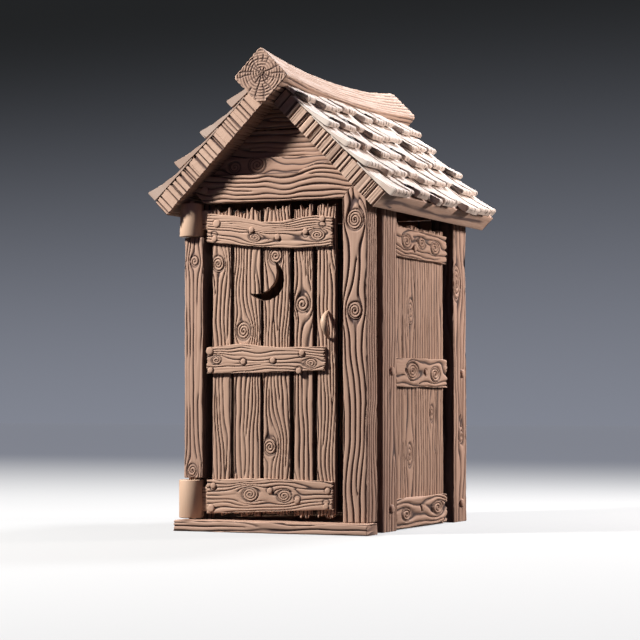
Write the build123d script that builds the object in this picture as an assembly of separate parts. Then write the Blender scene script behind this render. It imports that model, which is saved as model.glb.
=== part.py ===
from build123d import *
import math
import os

# A rustic timber outhouse: four corner posts, board and plank walls, a plank door on
# two barrel hinges, and a steep gable roof of split shakes under a sagging ridge log.
# Millimetres. The door faces -Y, left is -X, the ground is Z = 0, and the origin lies
# on the ground at the middle of the building.

# ------------------------------------------------------------------ driving sizes
# Body over the corner posts
body_width = 1200.0
body_depth = 1670.0

# Clearances
seat_gap = 0.3            # between pieces that bear on one another
board_joint = 4.0         # between neighbouring wall boards
swing_clearance = 5.0     # round everything that turns with the door
pin_clearance = 0.5       # between a hinge pin and the barrel that turns on it
cut_margin = 1.0          # how far a cutting block runs past what it cuts

# Corner posts
hinge_post_width = 132.0
latch_post_width = 157.0
rear_post_width = 157.0
front_post_depth = 162.0
rear_post_depth = 241.0

# Front sill, a timber that reaches out in front of the posts
sill_height = 70.0
sill_depth = 163.0
sill_projection = 95.0
sill_left_overhang = 24.0
sill_right_overhang = 40.0

# Header board and gable boards
doorway_top = 1966.0
header_shoulder_rise = 59.0
header_shoulder_run = 51.0
header_height = 270.0
gable_board_height = 160.0
gable_thickness = 70.0

# Side and rear walls, from the inside outwards: girts, planks, battens
side_board_thickness = 70.0
side_board_width = 228.0
side_slot = 78.0
rear_slot = 95.0
girt_depth = 60.0
girt_height = 90.0
wall_plank_thickness = 34.0
wall_batten_thickness = 30.0
wall_head_gap = 121.0     # from the doorway's top down to the side planks' splinters
rear_head_gap = 46.0      # and down to the rear planks' splinters
side_plank_shares = (0.20, 0.24, 0.24, 0.18, 0.14)
rear_plank_shares = (0.18, 0.22, 0.2, 0.23, 0.17)
wall_batten_height = 186.0
lower_rail_height = 101.0   # middle of the lowest batten and of the girt behind it
middle_rail_height = 953.0
upper_rail_drop = 103.0     # from the planks' splinters down to the top batten's middle
plate_width = 100.0
plate_drop = 6.0            # from the doorway's top down to the wall plate

# Floor
joist_height = 45.0
joist_width = 60.0
joist_spacing = 380.0
floor_board_thickness = 25.0
floor_board_width = 142.0
floor_edge_gap = 5.0

# Roof
roof_pitch = 45.0
eave_overhang = 76.0      # from the posts' sides out to the deck's lower corner
eave_drop = 68.0          # from the doorway's top down to that corner
gable_overhang = 95.0
deck_thickness = 111.0
deck_plank_width = 82.0
deck_joint = 0.6

# Shakes, laid in courses with their tails turned up
right_course_count = 5
left_course_count = 4
top_course_tail = 224.0   # from the under-apex of the deck down to the top course's tails
shake_head_lap = 104.0    # of each shake under the course above
shake_curl = 8.0          # how far a tail is curled up off the course below
shake_head_thickness = 10.0
shake_tail_thickness = 48.0
shake_overhang = 15.0
shake_width = 204.0
shake_stagger = 40.0      # how far some shakes sit up the slope from the rest
shake_gaps = (14.0, 30.0, 9.0, 22.0, 12.0, 26.0, 18.0)
shake_drift = (0.0, 34.0, -16.0, 22.0, -36.0, 12.0, -26.0)

# Ridge log, square and set on its corner, worn down in the middle
ridge_overhang = 90.0     # past each end of the roof
ridge_seat = 47.4         # how far down each slope the deck butts on it
ridge_side_end = 206.0    # its lower face at the ends
ridge_side_middle = 159.0
ridge_worn_edge = 12.0    # width of the flat worn along each upper edge
ridge_groove_shares = (0.25, 0.5, 0.75)   # weathered grooves, up each upper face
ridge_groove_width = 14.0
ridge_groove_depth = 6.0
ridge_stations = 9

# Door leaf
door_recess = 28.0        # from the posts' faces back to the planks
door_plank_thickness = 36.0
door_batten_thickness = 30.0
door_hinge_gap = 43.0     # from the hinge post to the first plank
door_latch_gap = 53.0     # from the last plank to the latch post
door_plank_shares = (0.174, 0.246, 0.241, 0.172, 0.167)
door_plank_gaps = (16.0, 14.0, 22.0, 24.0)
door_foot_gap = 12.0      # from the sill up to the longest splinter
door_head_gap = 12.0      # from the longest splinter up to the header
door_plank_head_drops = (10.0, 30.0, 18.0, 2.0, 12.0)
door_plank_foot_rises = (8.0, 0.0, 12.0, 2.0, 6.0)
door_head_splinter = 50.0
door_batten_reach = 12.0  # from the post's face to a batten's hinge end
# Battens, lower and upper edge: heights, but for the top one drops from the doorway's top
lower_batten_hinge_end = (100.0, 322.0)
lower_batten_free_end = (138.0, 313.0)
middle_batten_hinge_end = (939.0, 1103.0)
middle_batten_free_end = (950.0, 1100.0)
upper_batten_hinge_end = (235.0, 51.0)
upper_batten_free_end = (286.0, 106.0)
middle_batten_short_end = 56.0
outer_batten_short_end = 6.0

# Crescent cut through the door
moon_offset = 26.0        # from the joint of the second and third planks
moon_height = 1501.0
moon_radius = 126.0
moon_bite_radius = 132.0
moon_bite_x = -56.0
moon_bite_z = 48.0

# Door handle, a bowed bar
handle_edge_distance = 42.0
handle_bottom = 1143.0
handle_top = 1313.0
handle_reach = 72.0
handle_width = 34.0
handle_thickness = 24.0

# Barrel hinges
hinge_radius = 75.0
hinge_inset = 35.0        # axis in from both faces of the post's corner
pin_radius = 16.0
pin_seat = 34.0           # how far a pin enters the wood beyond the barrel
pin_head_seat = 15.0      # and how far the upper one enters the post's head
lower_barrel_height = 229.0
lower_barrel_head_gap = 12.0
upper_barrel_height = 202.0
upper_barrel_rise = 6.0   # from the doorway's top up to the upper barrel's
hinge_arm_thickness = 29.0
hinge_arm_inset = 40.0    # in from the ends of the barrel

# Splintered board ends
splinter_pitch = 26.0
splinter_reach = 24.0
splinter_pattern = (0.15, 0.9, 0.3, 0.7, 0.0, 1.0, 0.4, 0.6)

# ------------------------------------------------------------------ derived places
left = -body_width / 2
right = body_width / 2
front = -body_depth / 2
rear = body_depth / 2
hinge_post_inner = left + hinge_post_width
latch_post_inner = right - latch_post_width
front_post_back = front + front_post_depth
rear_post_front = rear - rear_post_depth
rear_post_inner = right - rear_post_width

sill_front = front - sill_projection
sill_back = sill_front + sill_depth

girt_face = right - side_board_thickness
side_board_front = front_post_back + side_slot
side_board_back = side_board_front + side_board_width
side_planks_back = rear_post_front - rear_slot
rear_girt_face = rear - side_board_thickness
header_shoulder = doorway_top + header_shoulder_rise
header_top = doorway_top + header_height
wall_plank_top = doorway_top - wall_head_gap
rear_plank_top = doorway_top - rear_head_gap
plate_bottom = doorway_top - plate_drop
rail_heights = (lower_rail_height, middle_rail_height, wall_plank_top - upper_rail_drop)

pitch = math.radians(roof_pitch)
roof_run = math.tan(pitch)
eave_half_width = right + eave_overhang
eave_height = doorway_top - eave_drop
ridge_under = eave_height + eave_half_width * roof_run
roof_half_length = body_depth / 2 + gable_overhang
eave_slope = eave_half_width / math.cos(pitch)
shake_taper = shake_tail_thickness - shake_head_thickness
eave_course_tail = eave_slope + shake_overhang

hinge_x = left + hinge_inset
hinge_y = front + hinge_inset
lower_barrel_bottom = sill_height + swing_clearance
lower_barrel_top = lower_barrel_bottom + lower_barrel_height
upper_barrel_top = doorway_top + upper_barrel_rise
upper_barrel_bottom = upper_barrel_top - upper_barrel_height
barrel_turning_radius = hinge_radius + swing_clearance

door_front = front + door_recess
door_back = door_front + door_plank_thickness
door_left = hinge_post_inner + door_hinge_gap
door_right = latch_post_inner - door_latch_gap
door_foot = sill_height + door_foot_gap + splinter_reach
door_head = doorway_top - door_head_gap - door_head_splinter


# ------------------------------------------------------------------ helpers
def block(x0, x1, y0, y1, z0, z1):
    """A box between two corners."""
    size = (x1 - x0, y1 - y0, z1 - z0)
    return Pos((x0 + x1) / 2, (y0 + y1) / 2, (z0 + z1) / 2) * Box(*size)


def prism_along_y(outline, y0, y1):
    """An XZ outline carried from y0 to y1."""
    face = make_face(Polyline(*[(x, y0, z) for x, z in outline], close=True))
    return extrude(face, amount=y1 - y0, dir=(0, 1, 0))


def prism_along_x(outline, x0, x1):
    """A YZ outline carried from x0 to x1."""
    face = make_face(Polyline(*[(x0, y, z) for y, z in outline], close=True))
    return extrude(face, amount=x1 - x0, dir=(1, 0, 0))


def upright_cylinder(x, y, radius, z0, z1):
    """A standing cylinder from z0 to z1."""
    return Pos(x, y, (z0 + z1) / 2) * Cylinder(radius, z1 - z0)


def mirrored(shapes):
    """The same pieces on the other side of the building."""
    return [mirror(shape, about=Plane.YZ) for shape in shapes]


def save(name, *shapes):
    """Write one node from its solids."""
    solids = [solid for shape in shapes for solid in shape.solids()]
    export_step(Compound(children=solids), f"parts/{name}.step")


def splinters(start, end, level, reach, phase):
    """A zigzag from start to end whose tips stand up to reach past level."""
    count = 2 * max(2, round(abs(end - start) / splinter_pitch))
    points = []
    for i in range(count + 1):
        tip = splinter_pattern[(i + phase) % len(splinter_pattern)]
        points.append((start + (end - start) * i / count, level + reach * tip))
    return points


def upright_board(side0, side1, foot, head, foot_reach, head_reach, phase):
    """Outline of a standing board with a splintered head, and foot where it has a reach."""
    top = splinters(side1, side0, head, head_reach, phase)
    if foot_reach == 0:
        return [(side0, foot), (side1, foot)] + top
    return splinters(side0, side1, foot, -foot_reach, phase + 3) + top


def lying_board(end0, end1, bottom, top, reach0, reach1, phase):
    """Outline of a lying board with both ends splintered, each by its own reach."""
    far = [(a, z) for z, a in splinters(bottom, top, end1, -reach1, phase)]
    near = [(a, z) for z, a in splinters(top, bottom, end0, reach0, phase + 5)]
    return near + far


def board_spans(start, end, shares, joint):
    """Split a width into boards by their shares, with a joint between neighbours."""
    wood = (end - start) - joint * (len(shares) - 1)
    spans = []
    edge = start
    for share in shares:
        spans.append((edge, edge + wood * share))
        edge += wood * share + joint
    return spans


def under_roof(x):
    """Height of the deck's underside above x, less the seat."""
    return ridge_under - abs(x) * roof_run - seat_gap / math.cos(pitch)


def on_slope(down, out):
    """The XZ point that far down the right slope, and out from the deck's underside."""
    x = down * math.cos(pitch) + out * math.sin(pitch)
    z = ridge_under - down * math.sin(pitch) + out * math.cos(pitch)
    return (x, z)


# ------------------------------------------------------------------ sill and floor
def front_sill():
    """The doorstep timber, bored for the lower hinge pin."""
    sill = block(left - sill_left_overhang, right + sill_right_overhang, sill_front, sill_back,
                 0, sill_height)
    bore = upright_cylinder(hinge_x, hinge_y, pin_radius + seat_gap, sill_height - pin_seat,
                            sill_height)
    return sill - bore


def floor_joists():
    """Joists on the ground, from the sill to the rear wall."""
    joists = []
    for x in (-joist_spacing, 0, joist_spacing):
        joists.append(block(x - joist_width / 2, x + joist_width / 2, sill_back + seat_gap,
                            rear_girt_face - girt_depth, 0, joist_height))
    return joists


def floor_boards():
    """Boards across the joists, between the posts."""
    half = min(rear_post_inner, latch_post_inner) - floor_edge_gap
    bottom = joist_height + seat_gap
    start = sill_back + floor_edge_gap
    end = rear_girt_face - girt_depth - floor_edge_gap
    count = round((end - start) / floor_board_width)
    spans = board_spans(start, end, [1 / count] * count, board_joint)
    return [block(-half, half, y0, y1, bottom, bottom + floor_board_thickness) for y0, y1 in spans]


# ------------------------------------------------------------------ posts
def post_outline(width):
    """Front view of a right-hand post: it carries the header on its shoulder and the deck."""
    inner = right - width
    top = header_shoulder - seat_gap
    roof_x = (ridge_under - seat_gap / math.cos(pitch) - top) / roof_run
    return [
        (inner, 0),
        (right, 0),
        (right, under_roof(right)),
        (roof_x, top),
        (inner + header_shoulder_run, top),
        (inner, doorway_top - seat_gap),
    ]


def sill_notch():
    """What the sill takes out of a post's foot."""
    return block(2 * left, 2 * right, sill_front, sill_back + seat_gap, -sill_height,
                 sill_height + seat_gap)


def latch_post():
    """The front post on the latch side."""
    return prism_along_y(post_outline(latch_post_width), front, front_post_back) - sill_notch()


def hinge_notch(z0, z1):
    """Room for a barrel and its arm to turn in the post's corner."""
    barrel = upright_cylinder(hinge_x, hinge_y, barrel_turning_radius, z0, z1)
    arm_back = door_front + hinge_arm_thickness + swing_clearance
    arm = block(hinge_x, hinge_post_inner + cut_margin, front - cut_margin, arm_back, z0, z1)
    return barrel + arm


def hinge_post():
    """The front post on the hinge side, cut away at both barrels and bored for their pins."""
    post = mirrored([prism_along_y(post_outline(hinge_post_width), front, front_post_back)])[0]
    post -= sill_notch()
    post -= hinge_notch(sill_height, lower_barrel_top + lower_barrel_head_gap)
    post -= hinge_notch(upper_barrel_bottom - swing_clearance, upper_barrel_top + swing_clearance)
    for z0, z1 in (lower_pin_span(), upper_pin_span()):
        post -= upright_cylinder(hinge_x, hinge_y, pin_radius + seat_gap, z0, z1)
    return post


def rear_post():
    """The right rear post."""
    return prism_along_y(post_outline(rear_post_width), rear_post_front, rear)


# ------------------------------------------------------------------ gables
def header_outline(left_inner, right_inner):
    """Front view of the board over an opening, with a shoulder on each post."""
    base = ridge_under - seat_gap / math.cos(pitch)
    shoulder_x = (base - header_shoulder) / roof_run
    top_x = (base - header_top) / roof_run
    return [
        (left_inner, doorway_top),
        (right_inner, doorway_top),
        (right_inner + header_shoulder_run, header_shoulder),
        (shoulder_x, header_shoulder),
        (top_x, header_top),
        (-top_x, header_top),
        (-shoulder_x, header_shoulder),
        (left_inner - header_shoulder_run, header_shoulder),
    ]


def gable_boards(y0, y1):
    """The boards that fill the gable above a header, up to the ridge log."""
    base = ridge_under - seat_gap / math.cos(pitch)
    ridge_x, ridge_z = on_slope(ridge_seat, 0)
    boards = []
    bottom = header_top + board_joint
    top = bottom + gable_board_height
    x0 = (base - bottom) / roof_run
    x1 = (base - top) / roof_run
    boards.append(prism_along_y([(-x0, bottom), (x0, bottom), (x1, top), (-x1, top)], y0, y1))
    bottom = top + board_joint
    top = ridge_z - seat_gap
    x0 = (base - bottom) / roof_run
    x1 = (base - top) / roof_run
    boards.append(prism_along_y([(-x0, bottom), (x0, bottom), (x1, top), (-x1, top)], y0, y1))
    return boards


# ------------------------------------------------------------------ side and rear walls
def side_board():
    """The thick board behind the right front post, from the ground to the deck."""
    outline = [
        (girt_face, 0),
        (right, 0),
        (right, under_roof(right)),
        (girt_face, under_roof(girt_face)),
    ]
    return prism_along_y(outline, side_board_front, side_board_back)


def side_planks(phase):
    """Recessed planks of the right wall, with splintered heads."""
    spans = board_spans(side_board_back + board_joint, side_planks_back, side_plank_shares,
                        board_joint)
    planks = []
    for i, (y0, y1) in enumerate(spans):
        outline = upright_board(y0, y1, 0, wall_plank_top, 0, splinter_reach, phase + 3 * i)
        planks.append(prism_along_x(outline, girt_face, girt_face + wall_plank_thickness))
    return planks


def side_battens(phase):
    """Three battens across the right wall's planks."""
    inner = girt_face + wall_plank_thickness + seat_gap
    battens = []
    for i, z in enumerate(rail_heights):
        outline = lying_board(side_board_back + board_joint, side_planks_back,
                              z - wall_batten_height / 2, z + wall_batten_height / 2,
                              0, splinter_reach, phase + i)
        battens.append(prism_along_x(outline, inner, inner + wall_batten_thickness))
    return battens


def side_girts():
    """Rails inside the right wall, from the front post to the rear post."""
    outer = girt_face - seat_gap
    girts = []
    for z in rail_heights:
        girts.append(block(outer - girt_depth, outer, front_post_back + seat_gap,
                           rear_post_front - seat_gap, z - girt_height / 2, z + girt_height / 2))
    return girts


def wall_plate():
    """The right wall's top timber, bevelled to carry the deck."""
    outer = girt_face - seat_gap
    outline = [
        (outer - plate_width, plate_bottom),
        (outer, plate_bottom),
        (outer, under_roof(outer)),
        (outer - plate_width, under_roof(outer - plate_width)),
    ]
    return prism_along_y(outline, front_post_back + seat_gap, rear_post_front - seat_gap)


def rear_planks():
    """Planks of the rear wall, between the rear posts."""
    half = rear_post_inner - board_joint
    planks = []
    for i, (x0, x1) in enumerate(board_spans(-half, half, rear_plank_shares, board_joint)):
        outline = upright_board(x0, x1, 0, rear_plank_top, 0, splinter_reach, 2 * i + 1)
        planks.append(prism_along_y(outline, rear_girt_face, rear_girt_face + wall_plank_thickness))
    return planks


def rear_battens():
    """Three battens across the rear planks."""
    half = rear_post_inner - board_joint
    y0 = rear_girt_face + wall_plank_thickness + seat_gap
    battens = []
    for i, z in enumerate(rail_heights):
        outline = lying_board(-half, half, z - wall_batten_height / 2, z + wall_batten_height / 2,
                              splinter_reach, splinter_reach, i + 2)
        battens.append(prism_along_y(outline, y0, y0 + wall_batten_thickness))
    return battens


def rear_girts():
    """Rails inside the rear wall, from post to post."""
    half = rear_post_inner - seat_gap
    outer = rear_girt_face - seat_gap
    girts = []
    for z in rail_heights:
        girts.append(block(-half, half, outer - girt_depth, outer,
                           z - girt_height / 2, z + girt_height / 2))
    return girts


# ------------------------------------------------------------------ roof
def deck_planks():
    """Thick planks from gable to gable, side by side down the right slope."""
    start = ridge_seat + seat_gap
    count = round((eave_slope - start) / deck_plank_width)
    planks = []
    for s0, s1 in board_spans(start, eave_slope, [1 / count] * count, deck_joint):
        outline = [
            on_slope(s0, 0),
            on_slope(s1, 0),
            on_slope(s1, deck_thickness),
            on_slope(s0, deck_thickness),
        ]
        planks.append(prism_along_y(outline, -roof_half_length, roof_half_length))
    return planks


def barrel_pocket():
    """What the upper barrel needs out of the left eave's underside."""
    return upright_cylinder(hinge_x, hinge_y, barrel_turning_radius, upper_barrel_bottom,
                            upper_barrel_top + swing_clearance)


def shake_profile(tail, exposure, y):
    """Side view of a shake on the right slope: a wedge with both faces curving up to its tail.

    Its head lies on the deck, and its tail clears the course below by the curl.
    """
    length = exposure + shake_head_lap
    lap = (shake_head_lap + shake_stagger) / length
    rest = (shake_head_thickness + shake_taper * lap + seat_gap) / (1 - lap**2)
    base = deck_thickness + seat_gap
    head = tail - length
    middle = tail - length / 2
    lift = rest + shake_curl
    middle_bottom = base + lift / 4
    middle_top = middle_bottom + (shake_head_thickness + shake_tail_thickness) / 2

    def at(down, out):
        x, z = on_slope(down, out)
        return (x, y, z)

    tail_bottom = at(tail, base + lift)
    tail_top = at(tail, base + lift + shake_tail_thickness)
    head_top = at(head, base + shake_head_thickness)
    bottom = ThreePointArc(at(head, base), at(middle, middle_bottom), tail_bottom)
    tip = Line(tail_bottom, tail_top)
    top = ThreePointArc(tail_top, at(middle, middle_top), head_top)
    butt = Line(head_top, at(head, base))
    return make_face([bottom, tip, top, butt])


def shake_course(course, course_count, phase):
    """One of course_count courses of shakes on the right slope, counted from the eave."""
    exposure = (eave_course_tail - top_course_tail) / (course_count - 1)
    tail = eave_course_tail - course * exposure
    count = round(2 * roof_half_length / shake_width)
    edges = [-roof_half_length + 2 * roof_half_length * i / count for i in range(count + 1)]
    for i in range(1, count):
        edges[i] += shake_drift[(i + phase) % len(shake_drift)]
    ridge_end = ridge_seat + seat_gap
    shakes = []
    for i in range(count):
        gap = shake_gaps[(i + phase) % len(shake_gaps)]
        y0 = edges[i] + (gap / 2 if i > 0 else 0)
        y1 = edges[i + 1] - (gap / 2 if i < count - 1 else 0)
        shake_tail = tail - shake_stagger * ((i + phase) % 3) / 2
        head = shake_tail - exposure - shake_head_lap
        shake = extrude(shake_profile(shake_tail, exposure, y0), amount=y1 - y0, dir=(0, 1, 0))
        if head < ridge_end:
            under_ridge = [on_slope(head - cut_margin, 0), on_slope(ridge_end, 0),
                           on_slope(ridge_end, 2 * deck_thickness),
                           on_slope(head - cut_margin, 2 * deck_thickness)]
            shake -= prism_along_y(under_ridge, y0 - cut_margin, y1 + cut_margin)
        shakes.append(shake)
    return shakes


def grooved_face(start, end):
    """The line from start to end, with a V cut to its left for each groove."""
    length = math.dist(start, end)
    along = ((end[0] - start[0]) / length, (end[1] - start[1]) / length)
    points = [start]
    for share in ridge_groove_shares:
        for run, depth in ((-ridge_groove_width / 2, 0), (0, ridge_groove_depth),
                           (ridge_groove_width / 2, 0)):
            place = share * length + run
            points.append((start[0] + along[0] * place - along[1] * depth,
                           start[1] + along[1] * place + along[0] * depth))
    return points + [end]


def ridge_section(y):
    """The ridge log's section at y: flat below, seated on both decks, and lower at mid length.

    Its side and top edges are worn flat, and its upper faces are grooved.
    """
    reach = abs(y) / (roof_half_length + ridge_overhang)
    side = ridge_side_middle + (ridge_side_end - ridge_side_middle) * reach**2
    foot_x, foot_z = on_slope(ridge_seat, 0)
    corner_x, corner_z = on_slope(ridge_seat, side)
    top_z = corner_z + corner_x * roof_run
    wear = ridge_worn_edge / 2
    half = [(foot_x, foot_z), (corner_x - wear, corner_z - wear)]
    half += grooved_face((corner_x - wear, corner_z + wear), (wear, top_z - wear))
    outline = half + [(-x, z) for x, z in reversed(half)]
    return make_face(Polyline(*[(x, y, z) for x, z in outline], close=True))


def ridge_beam():
    """The ridge log, lofted through its sections."""
    half = roof_half_length + ridge_overhang
    step = 2 * half / (ridge_stations - 1)
    return loft([ridge_section(-half + i * step) for i in range(ridge_stations)], ruled=True)


# ------------------------------------------------------------------ door
def door_plank_spans():
    """The planks' edges, by their shares of the leaf between the gaps."""
    wood = door_right - door_left - sum(door_plank_gaps)
    spans = []
    edge = door_left
    for share, gap in zip(door_plank_shares, door_plank_gaps + (0.0,)):
        spans.append((edge, edge + wood * share))
        edge += wood * share + gap
    return spans


def crescent():
    """The moon's outline, carried through the leaf."""
    moon_x = door_plank_spans()[1][1] + moon_offset
    length = 2 * body_depth
    moon = Pos(moon_x, 0, moon_height) * Rot(90, 0, 0) * Cylinder(moon_radius, length)
    bite = Pos(moon_x + moon_bite_x, 0, moon_height + moon_bite_z) * Rot(90, 0, 0)
    return moon - bite * Cylinder(moon_bite_radius, length)


def door_planks():
    """Five planks with splintered ends, the crescent cut through the second and third."""
    moon = crescent()
    planks = []
    for i, (x0, x1) in enumerate(door_plank_spans()):
        outline = upright_board(x0, x1, door_foot + door_plank_foot_rises[i],
                                door_head - door_plank_head_drops[i],
                                splinter_reach, door_head_splinter, 3 * i)
        plank = prism_along_y(outline, door_front, door_back)
        if i in (1, 2):
            plank -= moon
        planks.append(plank)
    return planks


def door_batten(hinge_end, free_end, short_end, phase):
    """A batten across the front of the planks, from edge heights at its two ends."""
    x0 = hinge_post_inner + door_batten_reach
    x1 = door_right - short_end
    near = [(x, z) for z, x in splinters(hinge_end[1], hinge_end[0], x0, splinter_reach / 2, phase)]
    far = [(x, z) for z, x in splinters(free_end[0], free_end[1], x1, -splinter_reach / 2, phase)]
    y1 = door_front - seat_gap
    return prism_along_y(near + far, y1 - door_batten_thickness, y1)


def below_doorway_top(drops):
    """Heights of a pair of edges given as drops from the doorway's top."""
    return tuple(doorway_top - drop for drop in drops)


def hinge_barrel(z0, z1):
    """A turned barrel bored for its pin, with the arm that holds the leaf."""
    body = upright_cylinder(hinge_x, hinge_y, hinge_radius, z0, z1)
    arm = block(hinge_x, door_left - seat_gap, door_front, door_front + hinge_arm_thickness,
                z0 + hinge_arm_inset, z1 - hinge_arm_inset)
    bore = upright_cylinder(hinge_x, hinge_y, pin_radius + pin_clearance, z0, z1)
    return body + arm - bore


def lower_pin_span():
    """From inside the sill to inside the post above the lower barrel."""
    return (sill_height - pin_seat, lower_barrel_top + lower_barrel_head_gap + pin_seat)


def upper_pin_span():
    """From inside the post below the upper barrel up into the post's head."""
    head = upper_barrel_top + swing_clearance
    return (upper_barrel_bottom - swing_clearance - pin_seat, head + pin_head_seat)


def hinge_pins():
    """The two fixed pins, set in the sill and the post."""
    return [upright_cylinder(hinge_x, hinge_y, pin_radius, z0, z1 - seat_gap)
            for z0, z1 in (lower_pin_span(), upper_pin_span())]


def door_handle():
    """A bar bowed out from the last plank."""
    x = door_right - handle_edge_distance
    face_y = door_front - seat_gap
    middle = (handle_bottom + handle_top) / 2
    outer = ThreePointArc((x, face_y, handle_bottom), (x, face_y - handle_reach, middle),
                          (x, face_y, handle_top))
    inner_bottom = handle_bottom + handle_thickness
    inner_top = handle_top - handle_thickness
    inner = ThreePointArc((x, face_y, inner_top),
                          (x, face_y - handle_reach + handle_thickness, middle),
                          (x, face_y, inner_bottom))
    upper_foot = Line((x, face_y, handle_top), (x, face_y, inner_top))
    lower_foot = Line((x, face_y, inner_bottom), (x, face_y, handle_bottom))
    bow = make_face([outer, upper_foot, inner, lower_foot])
    return extrude(bow, amount=handle_width / 2, dir=(1, 0, 0), both=True)


# ------------------------------------------------------------------ build
def main():
    """Write every node."""
    os.makedirs("parts", exist_ok=True)

    save("front_sill", front_sill())
    save("floor_joists", *floor_joists())
    save("floor_boards", *floor_boards())

    save("post_front_left", hinge_post())
    save("post_front_right", latch_post())
    save("post_rear_left", *mirrored([rear_post()]))
    save("post_rear_right", rear_post())

    front_gable = (front, front + gable_thickness)
    rear_gable = (rear - gable_thickness, rear)
    save("header_front", prism_along_y(header_outline(hinge_post_inner, latch_post_inner),
                                       *front_gable))
    save("header_rear", prism_along_y(header_outline(-rear_post_inner, rear_post_inner),
                                      *rear_gable))
    save("gable_boards_front", *gable_boards(*front_gable))
    save("gable_boards_rear", *gable_boards(*rear_gable))

    save("side_board_right", side_board())
    save("side_board_left", *mirrored([side_board()]))
    save("side_planks_right", *side_planks(0))
    save("side_planks_left", *mirrored(side_planks(4)))
    save("side_battens_right", *side_battens(1))
    save("side_battens_left", *mirrored(side_battens(6)))
    save("side_girts_right", *side_girts())
    save("side_girts_left", *mirrored(side_girts()))
    save("wall_plate_right", wall_plate())
    save("wall_plate_left", *mirrored([wall_plate()]))
    save("rear_planks", *rear_planks())
    save("rear_battens", *rear_battens())
    save("rear_girts", *rear_girts())

    save("roof_deck_right", *deck_planks())
    save("roof_deck_left", *[plank - barrel_pocket() for plank in mirrored(deck_planks())])
    for course in range(right_course_count):
        shakes = shake_course(course, right_course_count, 2 * course)
        save(f"shakes_right_{course + 1}", *shakes)
    for course in range(left_course_count):
        shakes = shake_course(course, left_course_count, 3 * course + 4)
        save(f"shakes_left_{course + 1}", *mirrored(shakes))
    save("ridge_beam", ridge_beam())

    save("hinge_pins", *hinge_pins())
    save("hinge_barrel_bottom", hinge_barrel(lower_barrel_bottom, lower_barrel_top))
    save("hinge_barrel_top", hinge_barrel(upper_barrel_bottom, upper_barrel_top))
    save("door_planks", *door_planks())
    save("door_batten_bottom", door_batten(lower_batten_hinge_end, lower_batten_free_end,
                                           outer_batten_short_end, 0))
    save("door_batten_middle", door_batten(middle_batten_hinge_end, middle_batten_free_end,
                                           middle_batten_short_end, 1))
    save("door_batten_top", door_batten(below_doorway_top(upper_batten_hinge_end),
                                        below_doorway_top(upper_batten_free_end),
                                        outer_batten_short_end, 2))
    save("door_handle", door_handle())


main()
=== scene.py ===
"""Rustic timber outhouse: carved boards, posts, split shakes, a sagging ridge log and its door.

Lengths are metres. The door faces -Y, left is -X, and the ground is Z = 0.
"""

import logging
import math
from dataclasses import dataclass, field, replace
from enum import Enum
from functools import cache

import bpy
import numpy as np
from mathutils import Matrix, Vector


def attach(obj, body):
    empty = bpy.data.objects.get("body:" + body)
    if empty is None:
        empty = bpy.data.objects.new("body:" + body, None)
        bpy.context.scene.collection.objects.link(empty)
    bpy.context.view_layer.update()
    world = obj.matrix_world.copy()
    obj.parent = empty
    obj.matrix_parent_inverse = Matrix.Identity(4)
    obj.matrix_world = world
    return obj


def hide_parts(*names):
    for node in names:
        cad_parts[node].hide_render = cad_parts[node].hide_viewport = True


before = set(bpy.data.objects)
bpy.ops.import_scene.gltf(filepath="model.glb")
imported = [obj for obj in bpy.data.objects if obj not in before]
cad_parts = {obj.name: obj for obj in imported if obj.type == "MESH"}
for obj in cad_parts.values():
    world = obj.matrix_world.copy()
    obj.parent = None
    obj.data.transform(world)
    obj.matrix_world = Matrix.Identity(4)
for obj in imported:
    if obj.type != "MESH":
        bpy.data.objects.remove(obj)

LOG = logging.getLogger("outhouse")
Array = np.ndarray
Point = tuple[float, float, float]
Pair = tuple[float, float]
Row = tuple[float, ...]
Line = tuple[Pair, ...]
Material = bpy.types.Material
Node = bpy.types.Node
Tree = bpy.types.NodeTree
TURN = 2 * math.pi
SIDES = ((1.0, "right"), (-1.0, "left"))


class Body(str, Enum):
    """The bodies that the pieces ride on."""

    HOUSE = "house"
    DOOR = "door"


class Slot(str, Enum):
    """The record's material slots."""

    FRAME = "frame_timber"
    BOARD = "board_timber"
    ROOF = "roof_timber"
    SHAKE = "split_shakes"
    TURNED = "turned_wood"
    INNER = "inner_timber"


class Way(Enum):
    """Directions that a timber runs or faces."""

    LEFT = (-1.0, 0.0, 0.0)
    RIGHT = (1.0, 0.0, 0.0)
    FRONT = (0.0, -1.0, 0.0)
    REAR = (0.0, 1.0, 0.0)
    UP = (0.0, 0.0, 1.0)


def sided(side: float, inner: float, outer: float) -> tuple[float, float, Way]:
    """Two distances from the middle as rising x on that side, and the way its wall faces."""
    low, high = sorted((side * inner, side * outer))
    return low, high, Way.RIGHT if side > 0 else Way.LEFT


def put(name: str, data: bpy.types.ID) -> bpy.types.Object:
    """Make an object of the data and link it to the scene."""
    made = bpy.data.objects.new(name, data)
    bpy.context.scene.collection.objects.link(made)
    return made


# --- noise and profiles
def lattice(i: Array, j: Array, seed: int) -> Array:
    """Scramble whole-number lattice places into fixed values from 0 to 1.

    Args:
        i: first place, whole numbers.
        j: second place, whole numbers.
        seed: which set of values.

    Returns:
        One value for each place.
    """
    h = (i.astype(np.int64) * 374761393 + j.astype(np.int64) * 668265263 + seed * 974634777)
    h = h.astype(np.uint64) & np.uint64(0xFFFFFFFF)
    h = ((h ^ (h >> np.uint64(13))) * np.uint64(1274126177)) & np.uint64(0xFFFFFFFF)
    h = h ^ (h >> np.uint64(16))
    return (h & np.uint64(0xFFFFFF)).astype(float) / 0xFFFFFF


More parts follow.
